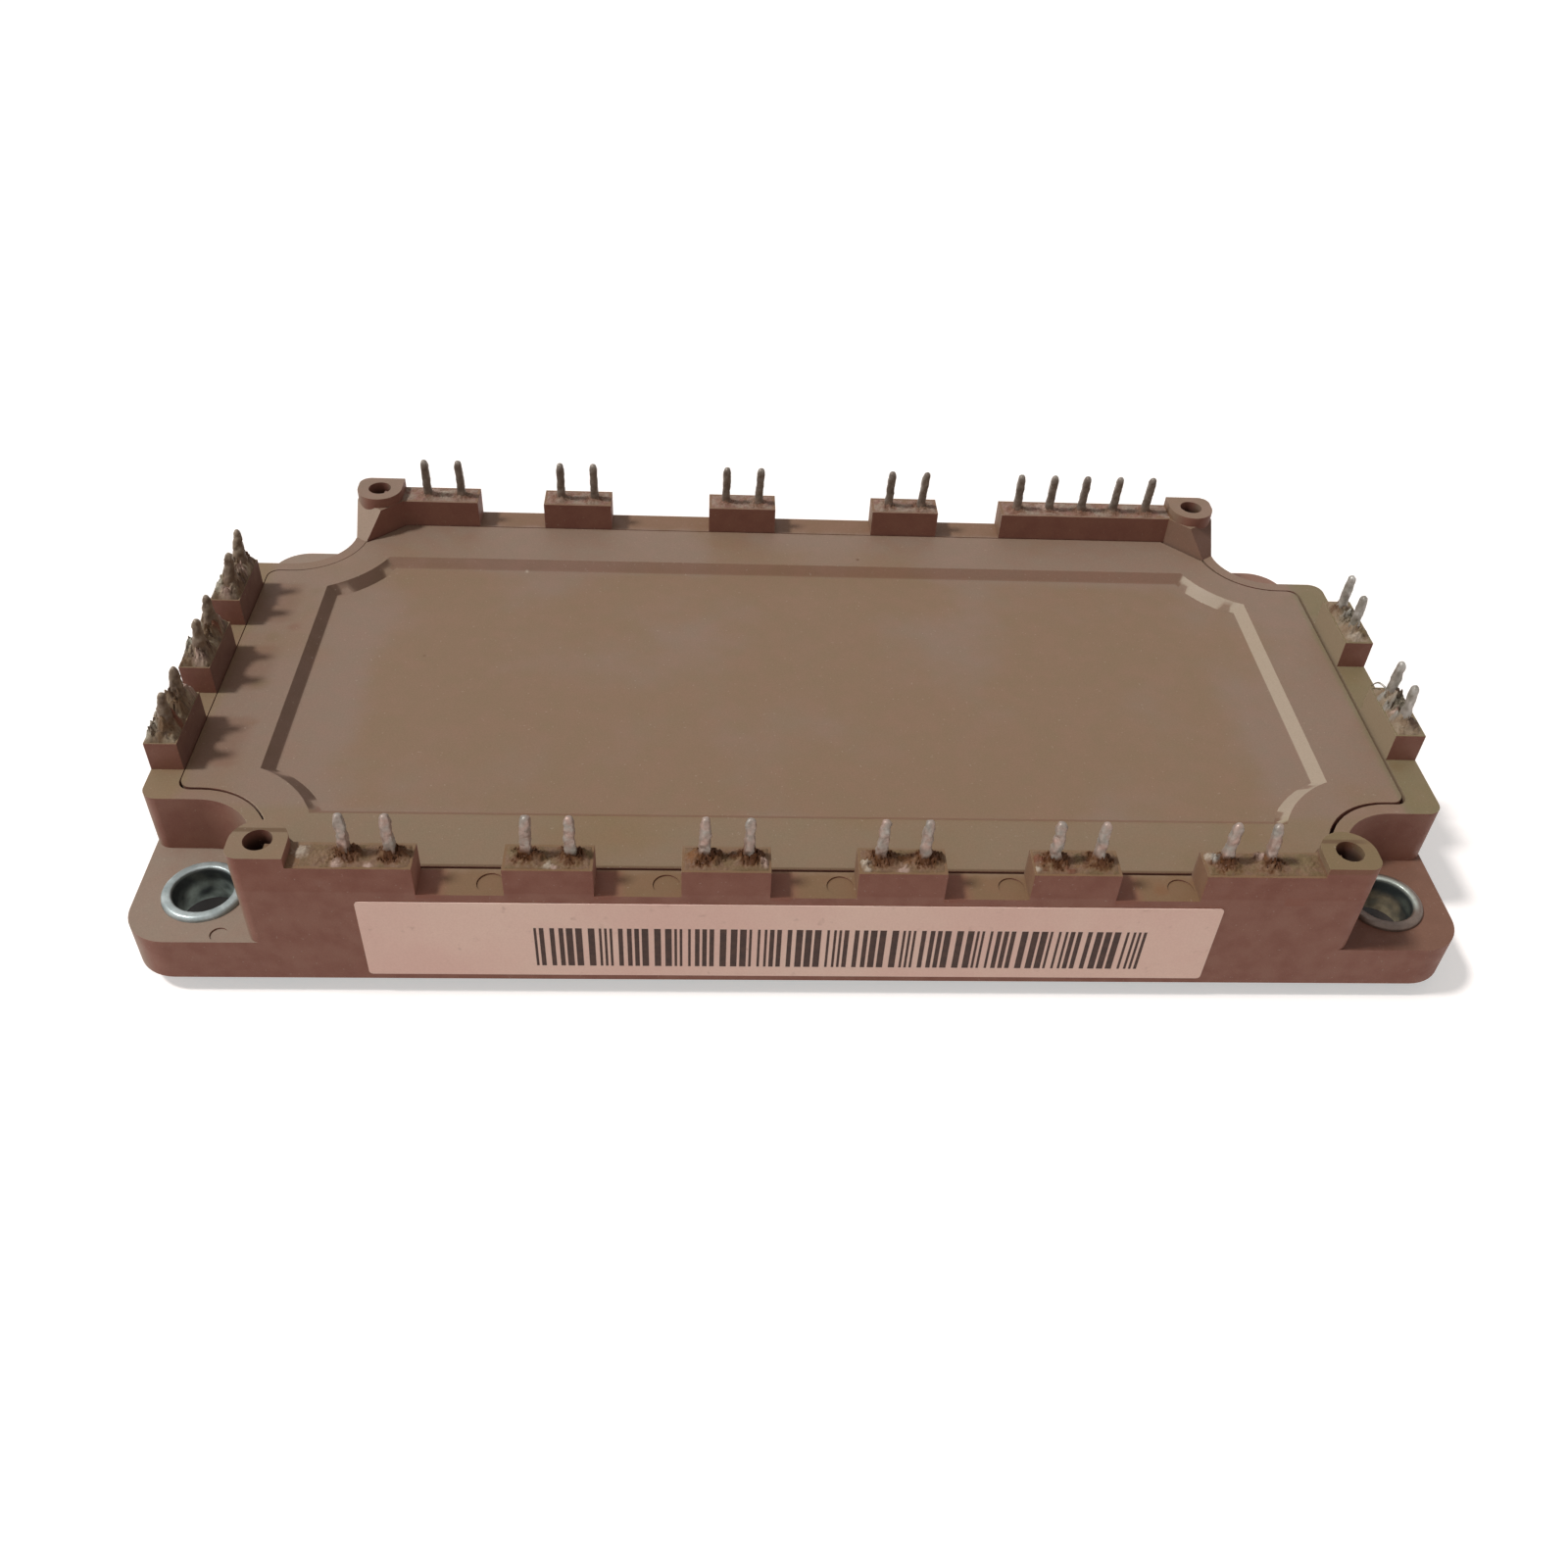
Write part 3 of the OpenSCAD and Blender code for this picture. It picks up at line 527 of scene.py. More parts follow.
PRONGS = {name: [] for name in NEAR + LEFT + RIGHT + FAR}
for terminal in PRONGS:
    at = middle(terminal)
    if terminal in FAR:
        PRONGS[terminal] = [at]
    elif terminal in NEAR:
        PRONGS[terminal] = [at + Vector((s * GRID / 2, 0, 0)) for s in (-1, 1)]
    else:
        PRONGS[terminal] = [at + Vector((0, s * GRID / 2, 0)) for s in (-1, 1)]
ALL_PRONGS = [p for ps in PRONGS.values() for p in ps]
HOLES = [(box(n)[0] + box(n)[1]) / 2 for n in prefixed("bushing_")]

# Distances from a prong, a hole and a post's bore within which an edge stays sharp
PRONG_CLEAR, HOLE_CLEAR, BORE_CLEAR = 0.95, 3.95, 1.5
NEAR_TO = 0.1


def flat_distance(a, b):
    return math.hypot(a.x - b.x, a.y - b.y)


def on_outline(p):
    """True on the outer edge of the ears: their straight sides and their round corners."""
    dx, dy = abs(p.x) - (WING_X - EAR_R), abs(p.y) - (BODY_Y - EAR_R)
    if dx > 0 and dy > 0:
        return abs(math.hypot(dx, dy) - EAR_R) < NEAR_TO
    return dx > EAR_R - NEAR_TO or dy > EAR_R - NEAR_TO


def in_pocket(p):
    """True on the edge of the lid's pocket, and not on the case's outer edge."""
    x, y = abs(p.x), abs(p.y)
    if x > WING_X - NEAR_TO or y > BODY_Y - NEAR_TO:
        return False
    if math.hypot(x - NOTCH_X, y - NOTCH_Y) < NOTCH_R + 0.15:
        return False
    return not (x > NOTCH_X - NOTCH_R - 0.15 and y > NOTCH_Y - NOTCH_R - 0.1)


def is_rounded(edge):
    """True on an outer edge of the moulding, which a real mould leaves round."""
    a, b = (v.co for v in edge.verts)
    m = (a + b) / 2
    post = Vector((math.copysign(POST_X, m.x), math.copysign(POST_Y, m.y), 0))
    if (min(flat_distance(m, p) for p in ALL_PRONGS) < PRONG_CLEAR
            or min(flat_distance(m, h) for h in HOLES) < HOLE_CLEAR
            or flat_distance(m, post) < BORE_CLEAR):
        return False
    low, high = min(a.z, b.z), max(a.z, b.z)
    if low > RIM_Z - NEAR_TO:
        return high > RIM_Z + NEAR_TO or not in_pocket(m)
    on_ears = abs(m.z - EAR_Z) < NEAR_TO and high - low < NEAR_TO
    return (on_ears or high < CASE_LOW.z + NEAR_TO) and on_outline(m)


def borders_groove(edge):
    """True on the lid's top edges, but not on its -X and +Y sides, where it touches its pocket."""
    a, b = (v.co for v in edge.verts)
    m = (a + b) / 2
    tight = m.x < LID_LOW.x + 3.0 or m.y > LID_HIGH.y - 1.0 or (m.x < -30 and m.y > 12)
    return min(a.z, b.z) > RIM_Z - 0.02 and not tight


def add_moulding(word, node, is_chosen, width, lit_dust_level):
    """Adds a node's solid in polymer, its chosen ridges rounded and its flat faces kept flat."""
    shape = node_shape(node)
    bmesh.ops.bevel(
        shape, geom=[e for e in shape.edges if is_ridge(e) and is_chosen(e)], offset=width,
        offset_type="OFFSET", segments=3, profile=0.5, affect="EDGES", clamp_overlap=True,
        loop_slide=True,
    )
    title, slot = word + "_moulding", word + "_plastic"
    made = piece(title, mesh_of(title, shape), plastic(slot, lit_dust_level), [node])
    modifier = made.modifiers.new("normals", "WEIGHTED_NORMAL")
    modifier.keep_sharp = True
    modifier.weight = 60


# ---- label ----

PAPER_IN = 0.012  # the sheet's front behind its node's
BAR_OUT, BAR_IN = 0.007, 0.01  # the bars' front before the sheet's, and their back behind it
BARS_START, BARS_END = 15.1, 6.3  # from the sheet's left and right ends
BARS_LOW, BARS_HIGH = 1.3, 6.3  # from its lower edge
BAR_W = 0.235


def add_box(shape, low, high):
    """Adds a closed box between two corners and returns its edges."""
    made = bmesh.ops.create_cube(shape, size=1)
    for vertex in made["verts"]:
        vertex.co = Vector(low[i] if vertex.co[i] < 0 else high[i] for i in range(3))
    return {e for v in made["verts"] for e in v.link_edges}


def paper():
    s = Shading("label_paper", rough=0.75, specular=0.25)
    broad = s.noise(9, detail=4)
    fibre = s.noise(0.18)
    colour = s.mix(s.step(broad, 0.3, 0.7), srgb(234, 202, 190), srgb(238, 212, 198))
    colour = s.mix(s.spread(fibre, 0.0, 0.12), colour, srgb(180, 140, 124))
    dirt = s.step(s.noise(1.1, detail=4, shift=4), 0.62, 0.8)
    colour = s.mix(s.times(dirt, 0.3), colour, srgb(150, 112, 96))
    s.bump(fibre, 0.01, 0.5)
    return s.finish(colour, s.spread(fibre, 0.68, 0.82))


def ink():
    dark, light = srgb(62, 44, 38), srgb(78, 56, 48)
    return grained("label_ink", dark, light, 0.12, 0.6, depth=0.004, specular=0.3)


def make_label():
    """Paper with a plain pattern of upright bars, whose widths follow a made-up rule."""
    front = LABEL_LOW.y + PAPER_IN
    sheet = bmesh.new()
    edges = add_box(sheet, Vector((LABEL_LOW.x, front, LABEL_LOW.z)), LABEL_HIGH)
    corners = [e for e in edges if abs(e.verts[0].co.y - e.verts[1].co.y) > 0.01]
    bmesh.ops.bevel(sheet, geom=corners, offset=0.35, segments=4, profile=0.5, affect="EDGES")
    piece("label_sheet", mesh_of("label_sheet", sheet), paper(), ["label"])
    bars = bmesh.new()
    x, end, step = LABEL_LOW.x + BARS_START, LABEL_HIGH.x - BARS_END, 0
    while x < end:
        width = BAR_W * (1 + (step * step + step // 3) % 3 * 0.75)
        gap = BAR_W * (1 + (step * 5 + step // 4) % 3 * 0.6)
        add_box(bars, Vector((x, front - BAR_OUT, LABEL_LOW.z + BARS_LOW)),
                Vector((min(x + width, end), front + BAR_IN, LABEL_LOW.z + BARS_HIGH)))
        x += width + gap
        step += 1
    piece("label_bars", mesh_of("label_bars", bars), ink())


# ---- bushings ----


def lathe(shape, profile, centre, turns=96):
    """Adds a ring whose closed profile of (radius, height) turns about an upright axis."""
    rings = []
    for k in range(turns):
        a = 2 * math.pi * k / turns
        rings.append([
            shape.verts.new((centre.x + r * math.cos(a), centre.y + r * math.sin(a), z))
            for r, z in profile
        ])
    skin(shape, rings + rings[:1])


def quarter(centre_r, centre_z, radius, start, end, count=5):
    """Points of an arc in the profile, with its angles in degrees."""
    angles = (math.radians(start + (end - start) * k / count) for k in range(count + 1))
    return [(centre_r + radius * math.cos(a), centre_z + radius * math.sin(a)) for a in angles]

COLLAR_WALL = 0.95
OUT_R, IN_R = 0.4, 0.2  # rounding of the collar's outer and inner top edge


def collar_profile(inner, outer, foot, top):
    """Closed outline of a collar's wall, up its outside and down its finely grooved bore."""
    profile = [(inner, foot), (outer, foot), (outer, top - OUT_R)]
    profile += quarter(outer - OUT_R, top - OUT_R, OUT_R, 0, 90)[1:]
    profile += quarter(inner + IN_R, top - IN_R, IN_R, 90, 180)
    steps = 16
    for k in range(1, steps):
        share = k / steps
        groove = 0.02 * math.sin(share * 40)
        profile.append((inner + groove, (top - IN_R) * (1 - share) + foot * share))
    return profile


def collar_paint(n, centre, inner, outer, top):
    """Colours of a collar: a bright ring, browner on the near right one as painted shade and grime,
    with a painted highlight on its arc; a bore painted dull and dark as shade, with painted light
    on its far wall.
    """
    # The near right collar lies in the body's shade: painted shade and grime, with a painted
    # highlight on the arc towards +X and +Y
    shaded_and_grimy = centre.x > 0 > centre.y
    clear = srgb(168, 152, 124) if shaded_and_grimy else srgb(206, 222, 214)

    def paint(p):
        r = flat_distance(p, centre)
        inside = 1 - ease(r, inner + 0.05, inner + 0.22)
        # Painted shade: the bore dull and dark below its top
        depth = inside * ease(top - p.z, 0.1, 0.5)
        cloud = wobble(p.x, p.y, p.z, 1.1, n * 2.1)
        colour = blend(srgb(178, 188, 188), srgb(142, 154, 154), 0.4 + cloud)
        if shaded_and_grimy:
            toward = ((p.x - centre.x) + (p.y - centre.y)) / (1.42 * outer)
            painted_highlight = ease(toward, 0.1, 0.5) * (1 - ease(r, inner + 0.25, inner + 0.5))
            colour = blend(srgb(112, 96, 86), srgb(176, 182, 174), painted_highlight)
        band = ease(wobble(p.x + p.z, p.y, p.z * 0.4, 1.7, 4 + n), 0.1, 0.5)
        dull = blend(srgb(54, 60, 60), srgb(98, 104, 96), band)
        # Painted light on the bore's far wall, in the colour set above, browner in the near right
        # collar
        lit_far_wall = ease((p.y - centre.y) / inner, -0.3, 0.5) * ease(top - p.z, 1.2, 2.6)
        dull = blend(dull, clear, lit_far_wall * (0.75 + cloud))
        return blend(colour, dull, depth), 0.3, 0.38 + 0.12 * depth
    return paint


def make_bushings():
    """Plated steel collars with a bright ring and a bore painted dull and dark as shade."""
    material = painted("bushing_zinc", size=0.35, depth=0.015)
    for n, name in enumerate(prefixed("bushing_")):
        low, high = box(name)
        centre = (low + high) / 2
        outer = (high.x - low.x) / 2
        inner = outer - COLLAR_WALL
        shape = bmesh.new()
        profile = collar_profile(inner, outer, low.z, high.z)
        lathe(shape, profile, Vector((centre.x, centre.y, 0)))
        bmesh.ops.recalc_face_normals(shape, faces=shape.faces)
        paint = collar_paint(n, centre, inner, outer, high.z)
        mesh = painted_mesh(name, shape, paint, 50)
        piece(name + "_collar", mesh, material, [name])


# ---- prongs, with their coat of solder ----


def wobble(x, y, z, size, shift=0.0):
    """Even noise from -1 to 1 at a place in millimetres, with features `size` wide."""
    return noise.noise(Vector((x / size + shift, y / size + shift * 0.7, z / size - shift)))


def blend(a, b, share):
    share = min(1.0, max(0.0, share))
    return a * (1 - share) + b * share


def ease(value, low, high):
    t = min(1.0, max(0.0, (value - low) / (high - low)))
    return t * t * (3 - 2 * t)


def painted_mesh(name, shape, paint, smooth_angle=60):
    """A mesh painted point by point: paint(place) tells tone, metal share and roughness."""
    facts = [paint(v.co) for v in shape.verts]
    mesh = mesh_of(name, shape, smooth_angle)
    tone = mesh.attributes.new("tone", "FLOAT_COLOR", "POINT")
    kind = mesh.attributes.new("kind", "FLOAT_COLOR", "POINT")
    tone.data.foreach_set("color", [c for colour, _, _ in facts for c in (*colour, 1.0)])
    kinds = [c for _, metal, rough in facts for c in (metal, rough, 0.0, 1.0)]
    kind.data.foreach_set("color", kinds)
    return mesh


class Look:
    """How one row of terminals looks. Its prongs: half their widths in X and Y, the lumps of
    their coat, two tones of tin and how far they widen like a cone towards the foot. The
    residue on their blocks: its film, heaps and their reach, its two tones, how burnt it is
    beside a prong, and its lumps."""

    def __init__(self, across, coat, tin, film, heap, reach, ground, burnt, lumps, cone=0.0):
        self.across, self.coat, self.tin, self.cone = across, coat, tin, cone
        self.film, self.heap, self.reach = film, heap, reach
        self.ground, self.burnt, self.lumps = ground, burnt, lumps


NEAR_LOOK = Look(
    across=(0.46, 0.42), coat=0.17, tin=(srgb(178, 150, 138), SOLDER), film=0.1, heap=0.55,
    reach=0.5, ground=(srgb(130, 102, 82), srgb(116, 94, 68)), burnt=1.0, lumps=0.26,
)
LEFT_LOOK = Look(
    across=(0.34, 0.4), coat=0.15, tin=(srgb(146, 130, 110), srgb(98, 78, 62)), film=0.45,
    heap=1.6, reach=0.85, ground=(srgb(166, 152, 130), srgb(112, 90, 68)), burnt=0.25,
    lumps=1.1, cone=0.5,
)
RIGHT_LOOK = Look(
    across=(0.4, 0.44), coat=0.09, tin=(srgb(190, 186, 180), srgb(140, 136, 124)), film=0.12,
    heap=1.0, reach=0.6, ground=(srgb(138, 118, 96), srgb(146, 130, 110)), burnt=0.12,
    lumps=0.35,
)
FAR_LOOK = Look(
    across=(0.44, 0.4), coat=0.07, tin=(srgb(146, 136, 126), srgb(116, 104, 94)), film=0.09,
    heap=0.35, reach=0.4, ground=(srgb(142, 108, 96), srgb(148, 130, 116)), burnt=0.45,
    lumps=0.34,
)


def look_of(name):
    for row, look in ((NEAR, NEAR_LOOK), (LEFT, LEFT_LOOK), (RIGHT, RIGHT_LOOK)):
        if name in row:
            return look
    return FAR_LOOK


# How far each prong's tip leans from its foot in X and Y, and what its full height gains
LEANS = {
    NEAR[0]: [(0.0, 0.1, 0), (0.0, 0.1, 0)],
    NEAR[1]: [(0.2, 0.1, 0), (0.0, 0.1, 0)],
    NEAR[2]: [(0.1, 0.15, 0), (0.1, 0.1, 0)],
    NEAR[3]: [(0.15, 0.1, 0), (0.1, 0.1, 0)],
    NEAR[4]: [(0.0, 0.1, 0), (0.1, 0.1, 0)],
    NEAR[5]: [(0.2, 0.2, 0), (-0.1, 0.15, 0)],
    LEFT[0]: [(0.25, 0.05, -0.2), (0.3, 0.1, -0.2)],
    LEFT[1]: [(0.3, 0.0, -0.2), (0.25, 0.1, -0.1)],
    LEFT[2]: [(0.45, 0.2, -0.2), (0.3, 0.5, 0)],
    RIGHT[0]: [(0.0, 0.2, 0), (0.05, 0.2, 0)],
    RIGHT[1]: [(0.1, 0.1, 0), (0.1, 0.1, 0)],
}
# How far each far pin leans along X
FAR_LEANS = [-0.05, -0.05, 0.05, 0, 0.1, 0.2, 0.15, 0.35, 0, 0.1, 0.15, 0.2, 0.25]

TIP_L = 0.9  # length over which a prong's tip narrows
SUNK = 0.6  # how far its coat reaches into the block
SQUARE = 3.4  # how square its section is: 2 is round


def add_prong(shape, foot, tip, look, seed):
    """Lofts one prong from its foot in the block to its tip, under a lumpy coat of solder."""
    sides, rings = 18, 36
    wide, deep = look.across
    sunk = foot.z - SUNK
    loops = []
    for k in range(rings + 1):
        t = k / rings
        z = sunk + (tip.z - sunk) * t
        lean = max(0.0, (z - foot.z) / (tip.z - foot.z)) ** 1.35
        x = foot.x + (tip.x - foot.x) * lean
        y = foot.y + (tip.y - foot.y) * lean
        from_tip = tip.z - z
        taper = 1.0
        if from_tip < TIP_L:
            taper = 0.4 + 0.6 * math.sqrt(max(0.0, 1 - (1 - from_tip / TIP_L) ** 2))
        swell = look.reach * 0.4 * math.exp(-max(0.0, z - foot.z) / (0.3 + look.heap * 0.5))
        swell += look.cone * (1 - t) ** 1.3
        loop = []
        for j in range(sides):
            a = 2 * math.pi * j / sides
            c, s = math.cos(a), math.sin(a)
            r = (abs(c / wide) ** SQUARE + abs(s / deep) ** SQUARE) ** (-1 / SQUARE)
            lump = wobble(c * 0.8, s * 0.8, z, 0.75, seed) + 0.5 * wobble(c, s, z, 0.32, seed + 9)
            reach = r * taper + swell + look.coat * lump * min(1.0, from_tip * 1.6 + 0.25)
            loop.append(shape.verts.new((x + c * reach, y + s * reach, z)))
        loops.append(loop)
    skin(shape, loops)
    centre = sum((v.co for v in loops[-1]), Vector()) / sides
    crown = shape.verts.new(centre + Vector((0, 0, 0.03)))
    for j in range(sides):
        shape.faces.new((loops[-1][j], loops[-1][(j + 1) % sides], crown))
    shape.faces.new(list(reversed(loops[0])))


def add_root(shape, name):
    """Adds the terminal's yoke and foot, which the case hides, from its CAD node."""
    root = node_shape(name)
    bmesh.ops.bisect_plane(
        root, geom=root.verts[:] + root.edges[:] + root.faces[:], plane_co=(0, 0, BLOCK_Z - 0.5),
        plane_no=(0, 0, 1), clear_outer=True,
    )
    bmesh.ops.holes_fill(root, edges=[e for e in root.edges if e.is_boundary], sides=0)
    mesh = bpy.data.meshes.new("root")
    root.to_mesh(mesh)
    root.free()
    shape.from_mesh(mesh)
    bpy.data.meshes.remove(mesh)


def tin_paint(seed, look):
    """Colours along a prong: flux at its foot, the row's dull tin above, darker at its tip."""
    def paint(p):
        a = wobble(p.x, p.y, p.z, 0.9, seed)
        b = wobble(p.x, p.y, p.z, 0.3, seed + 5)
        colour = blend(look.tin[0], look.tin[1], 0.5 + 0.8 * a + 0.4 * b)
        foot = 1 - ease(p.z + 0.6 * a, BLOCK_Z + look.heap, BLOCK_Z + look.heap + 0.8)
        colour = blend(colour, blend(AMBER, BURNT, 0.5 + b), look.burnt * foot)
        crown = ease(p.z, POST_Z + 2.6, POST_Z + 3.4) * 0.35
        colour = blend(colour, DARK_CRUST, crown * (0.5 + a))
        return colour, (0.35 - 0.5 * look.cone) * (1 - look.burnt * foot), 0.45 + 0.12 * a
    return paint


def make_terminals():
    material = painted("tinned_copper")
    for n, name in enumerate(NEAR + LEFT + RIGHT + FAR):
        shape = bmesh.new()
        look = look_of(name)
        for k, foot in enumerate(PRONGS[name]):
            lean = (FAR_LEANS[FAR.index(name)], 0, 0) if name in FAR else LEANS[name][k]
            foot = Vector((foot.x, foot.y, BLOCK_Z))
            tip = Vector((foot.x + lean[0], foot.y + lean[1], box(name)[1].z + lean[2] - 0.05))
            add_prong(shape, foot, tip, look, n * 3.7 + k * 1.9)
        add_root(shape, name)
        mesh = painted_mesh(name, shape, tin_paint(n * 1.3, look))
        piece(name + "_tinned", mesh, material, [name])


# ---- residue of flux and solder on the blocks ----

# Spots on a block: how far along the wall and inwards from its middle, width, height and colour
SPOTS = {
    NEAR[0]: [
        (-5.6, 0.5, 1.0, 0.12, CHALK), (-3.7, -0.2, 1.3, 0.2, TAN),
        (-2.4, -1.2, 0.7, 0.12, PINKISH), (0.2, -1.3, 0.6, 0.08, PINKISH),
        (-1.0, 0.1, 0.9, 0.35, BURNT), (2.9, 0.2, 0.9, 0.35, BURNT),
    ],
    NEAR[1]: [
        (-3.2, 0.3, 0.8, 0.12, OLIVE), (-0.9, 0.0, 0.8, 0.4, BURNT),
        (0.0, -1.0, 0.55, 0.16, CHALK), (0.6, -1.3, 0.4, 0.1, PINKISH),
        (2.9, 0.2, 0.8, 0.4, BURNT), (3.4, 0.3, 0.6, 0.1, OLIVE),
    ],
    NEAR[2]: [
        (-3.0, 0.0, 1.0, 0.14, AMBER), (-1.0, 0.1, 1.0, 0.5, BURNT), (0.5, 0.2, 0.6, 0.3, BURNT),
        (2.6, 0.0, 1.1, 0.5, BURNT), (3.4, -0.6, 0.6, 0.1, PINKISH),
    ],
    NEAR[3]: [
        (-3.3, -0.5, 0.6, 0.28, CHALK), (-3.1, -1.2, 0.4, 0.15, CHALK),
        (-0.9, 0.1, 1.0, 0.3, BURNT), (0.4, 0.0, 0.8, 0.25, AMBER), (2.8, 0.2, 1.0, 0.4, BURNT),
        (0.0, -1.2, 0.8, 0.08, PINKISH),
    ],
    NEAR[4]: [
        (-3.5, 0.2, 0.8, 0.2, RUST), (-3.5, -0.9, 0.5, 0.15, CHALK), (-1.0, 0.1, 0.8, 0.4, BURNT),
        (0.4, 0.5, 0.8, 0.15, OLIVE), (2.6, 0.1, 0.9, 0.4, BURNT), (-0.6, -1.1, 0.7, 0.1, RUST),
    ],
    NEAR[5]: [
        (-3.4, 0.8, 0.7, 0.3, CHALK), (-2.9, 0.3, 0.5, 0.3, SOLDER), (-1.5, -0.2, 0.8, 0.3, BURNT),
        (1.2, 0.6, 0.7, 0.3, PINKISH), (2.4, -0.3, 0.9, 0.3, BURNT), (5.0, 0.3, 1.8, 0.1, OLIVE),
    ],
    LEFT[0]: [
        (-2.6, -1.0, 0.9, 0.4, CHALK), (-1.6, 0.7, 0.7, 0.3, DARK_CRUST),
        (0.4, 0.5, 0.8, 1.0, TAN), (2.9, 0.9, 0.8, 0.5, PINKISH), (1.6, 0.3, 0.8, 0.4, DARK_CRUST),
        (-0.6, -0.9, 0.8, 0.4, CHALK), (-2.6, -1.3, 1.3, 0.1, ASH), (0.2, -1.4, 1.3, 0.1, ASH),
        (2.6, -1.4, 1.1, 0.1, ASH), (-1.4, 1.1, 0.8, 0.2, RUST),
    ],
    LEFT[1]: [
        (-3.2, 0.6, 0.8, 0.3, PINKISH), (-1.2, -1.1, 0.7, 0.5, CHALK), (0.2, 0.4, 0.9, 1.0, TAN),
        (1.4, 1.0, 0.6, 0.6, RUST), (2.6, 1.2, 0.6, 0.5, PINKISH),
        (-1.6, 0.9, 0.7, 0.3, DARK_CRUST), (-1.4, -1.3, 1.5, 0.1, ASH), (1.2, -1.4, 1.2, 0.1, ASH),
        (-2.8, 0.9, 0.6, 0.1, DARK_CRUST),
    ],
    LEFT[2]: [
        (-3.2, 0.2, 0.9, 0.2, PINKISH), (0.4, 0.9, 0.8, 0.8, PINKISH), (-0.6, 0.1, 0.9, 0.9, TAN),
        (2.6, 0.8, 0.7, 0.5, RUST), (-1.9, 0.8, 0.7, 0.3, DARK_CRUST),
        (3.0, -0.6, 0.7, 0.4, OLIVE), (-2.2, -1.3, 1.3, 0.1, ASH), (0.4, -1.4, 1.2, 0.1, ASH),
        (-0.8, 1.2, 0.6, 0.1, DARK_CRUST),
    ],
    RIGHT[0]: [
        (0.2, -0.1, 1.5, 0.8, SOLDER_DULL), (1.6, 0.1, 0.8, 0.4, DARK_CRUST),
        (1.8, 1.2, 0.5, 0.5, SOLDER), (-1.6, 1.0, 0.5, 0.5, SOLDER),
        (-2.4, -0.5, 1.1, 0.25, DARK_CRUST), (0.2, 1.0, 0.7, 0.3, SOLDER),
        (0.9, 0.6, 0.5, 0.4, CHALK), (-0.7, 0.9, 0.5, 0.3, PINKISH),
    ],
    RIGHT[1]: [
        (0.0, -0.1, 1.5, 0.8, SOLDER_DULL), (1.9, 0.8, 0.9, 0.2, BURNT),
        (-3.2, 0.2, 0.9, 0.1, CHALK), (-2.6, -0.6, 0.8, 0.25, OLIVE), (0.2, 0.4, 0.6, 0.3, SOLDER),
        (-1.8, 0.3, 0.7, 0.3, OLIVE),
    ],
    FAR[0]: [
        (0.4, -0.4, 1.2, 0.12, PINKISH), (1.9, -0.3, 0.8, 0.1, CHALK),
    ],
    FAR[9]: [
        (0.0, -0.4, 1.6, 0.05, PINKISH),
    ],
}


def crust_point(x, y, look, spots, seed):
    """Place over the block, colour, metal share and roughness of the residue above (x, y)."""
    d = min(math.hypot(p.x - x, p.y - y) for p in ALL_PRONGS)
    broad = wobble(x, y, 0, 1.5, seed)
    mid = wobble(x, y, 0, 0.6, seed + 3)
    fine = wobble(x, y, 0, 0.22, seed + 7)
    height = look.film * (0.4 + 0.7 * broad)
    height += look.lumps * (0.5 * max(0.0, mid) + 0.3 * max(0.0, fine))
    height += look.heap * math.exp(-max(0.0, d - 0.45) / look.reach) * (1 + 0.5 * mid + 0.25 * fine)
    singed = look.burnt * (1 - ease(d + 0.6 * mid + 0.3 * fine, 0.5, 1.7))
    height += 0.7 * singed * max(0.0, wobble(x, y, 0, 0.13, seed + 13))
    # From here on the noise also changes with height, so that steep sides are lumpy and mottled
    mid = wobble(x, y, height, 0.6, seed + 5)
    fine = wobble(x, y, height, 0.22, seed + 8)
    colour = blend(look.ground[0], look.ground[1], 0.5 + broad + 0.9 * mid + 0.4 * fine)
    colour = blend(colour, AMBER, 0.9 * singed)
    colour = blend(colour, BURNT, 1.4 * singed - 0.3 + 0.5 * fine)
    metal = 0.0
    for sx, sy, width, rise, tone in spots:
        share = ease(1 - math.hypot(x - sx, y - sy) / width + 0.4 * mid + 0.35 * fine, 0.0, 0.8)
        height += rise * share * (1 + 0.5 * fine)
        colour = blend(colour, tone, 0.85 * share)
        if tone in (SOLDER, SOLDER_DULL):
            metal = max(metal, 0.4 * share)
    colour = blend(colour, DARK_CRUST, 1.8 * look.film * ease(-mid - 0.5 * fine, 0.1, 0.5))
    aside = 0.12 * min(1.0, height)
    x += aside * wobble(x, y, height, 0.35, seed + 21)
    y += aside * wobble(x, y, height, 0.35, seed + 31)
    return Vector((x, y, height)), colour, metal, 0.62 - 0.1 * singed + 0.1 * fine


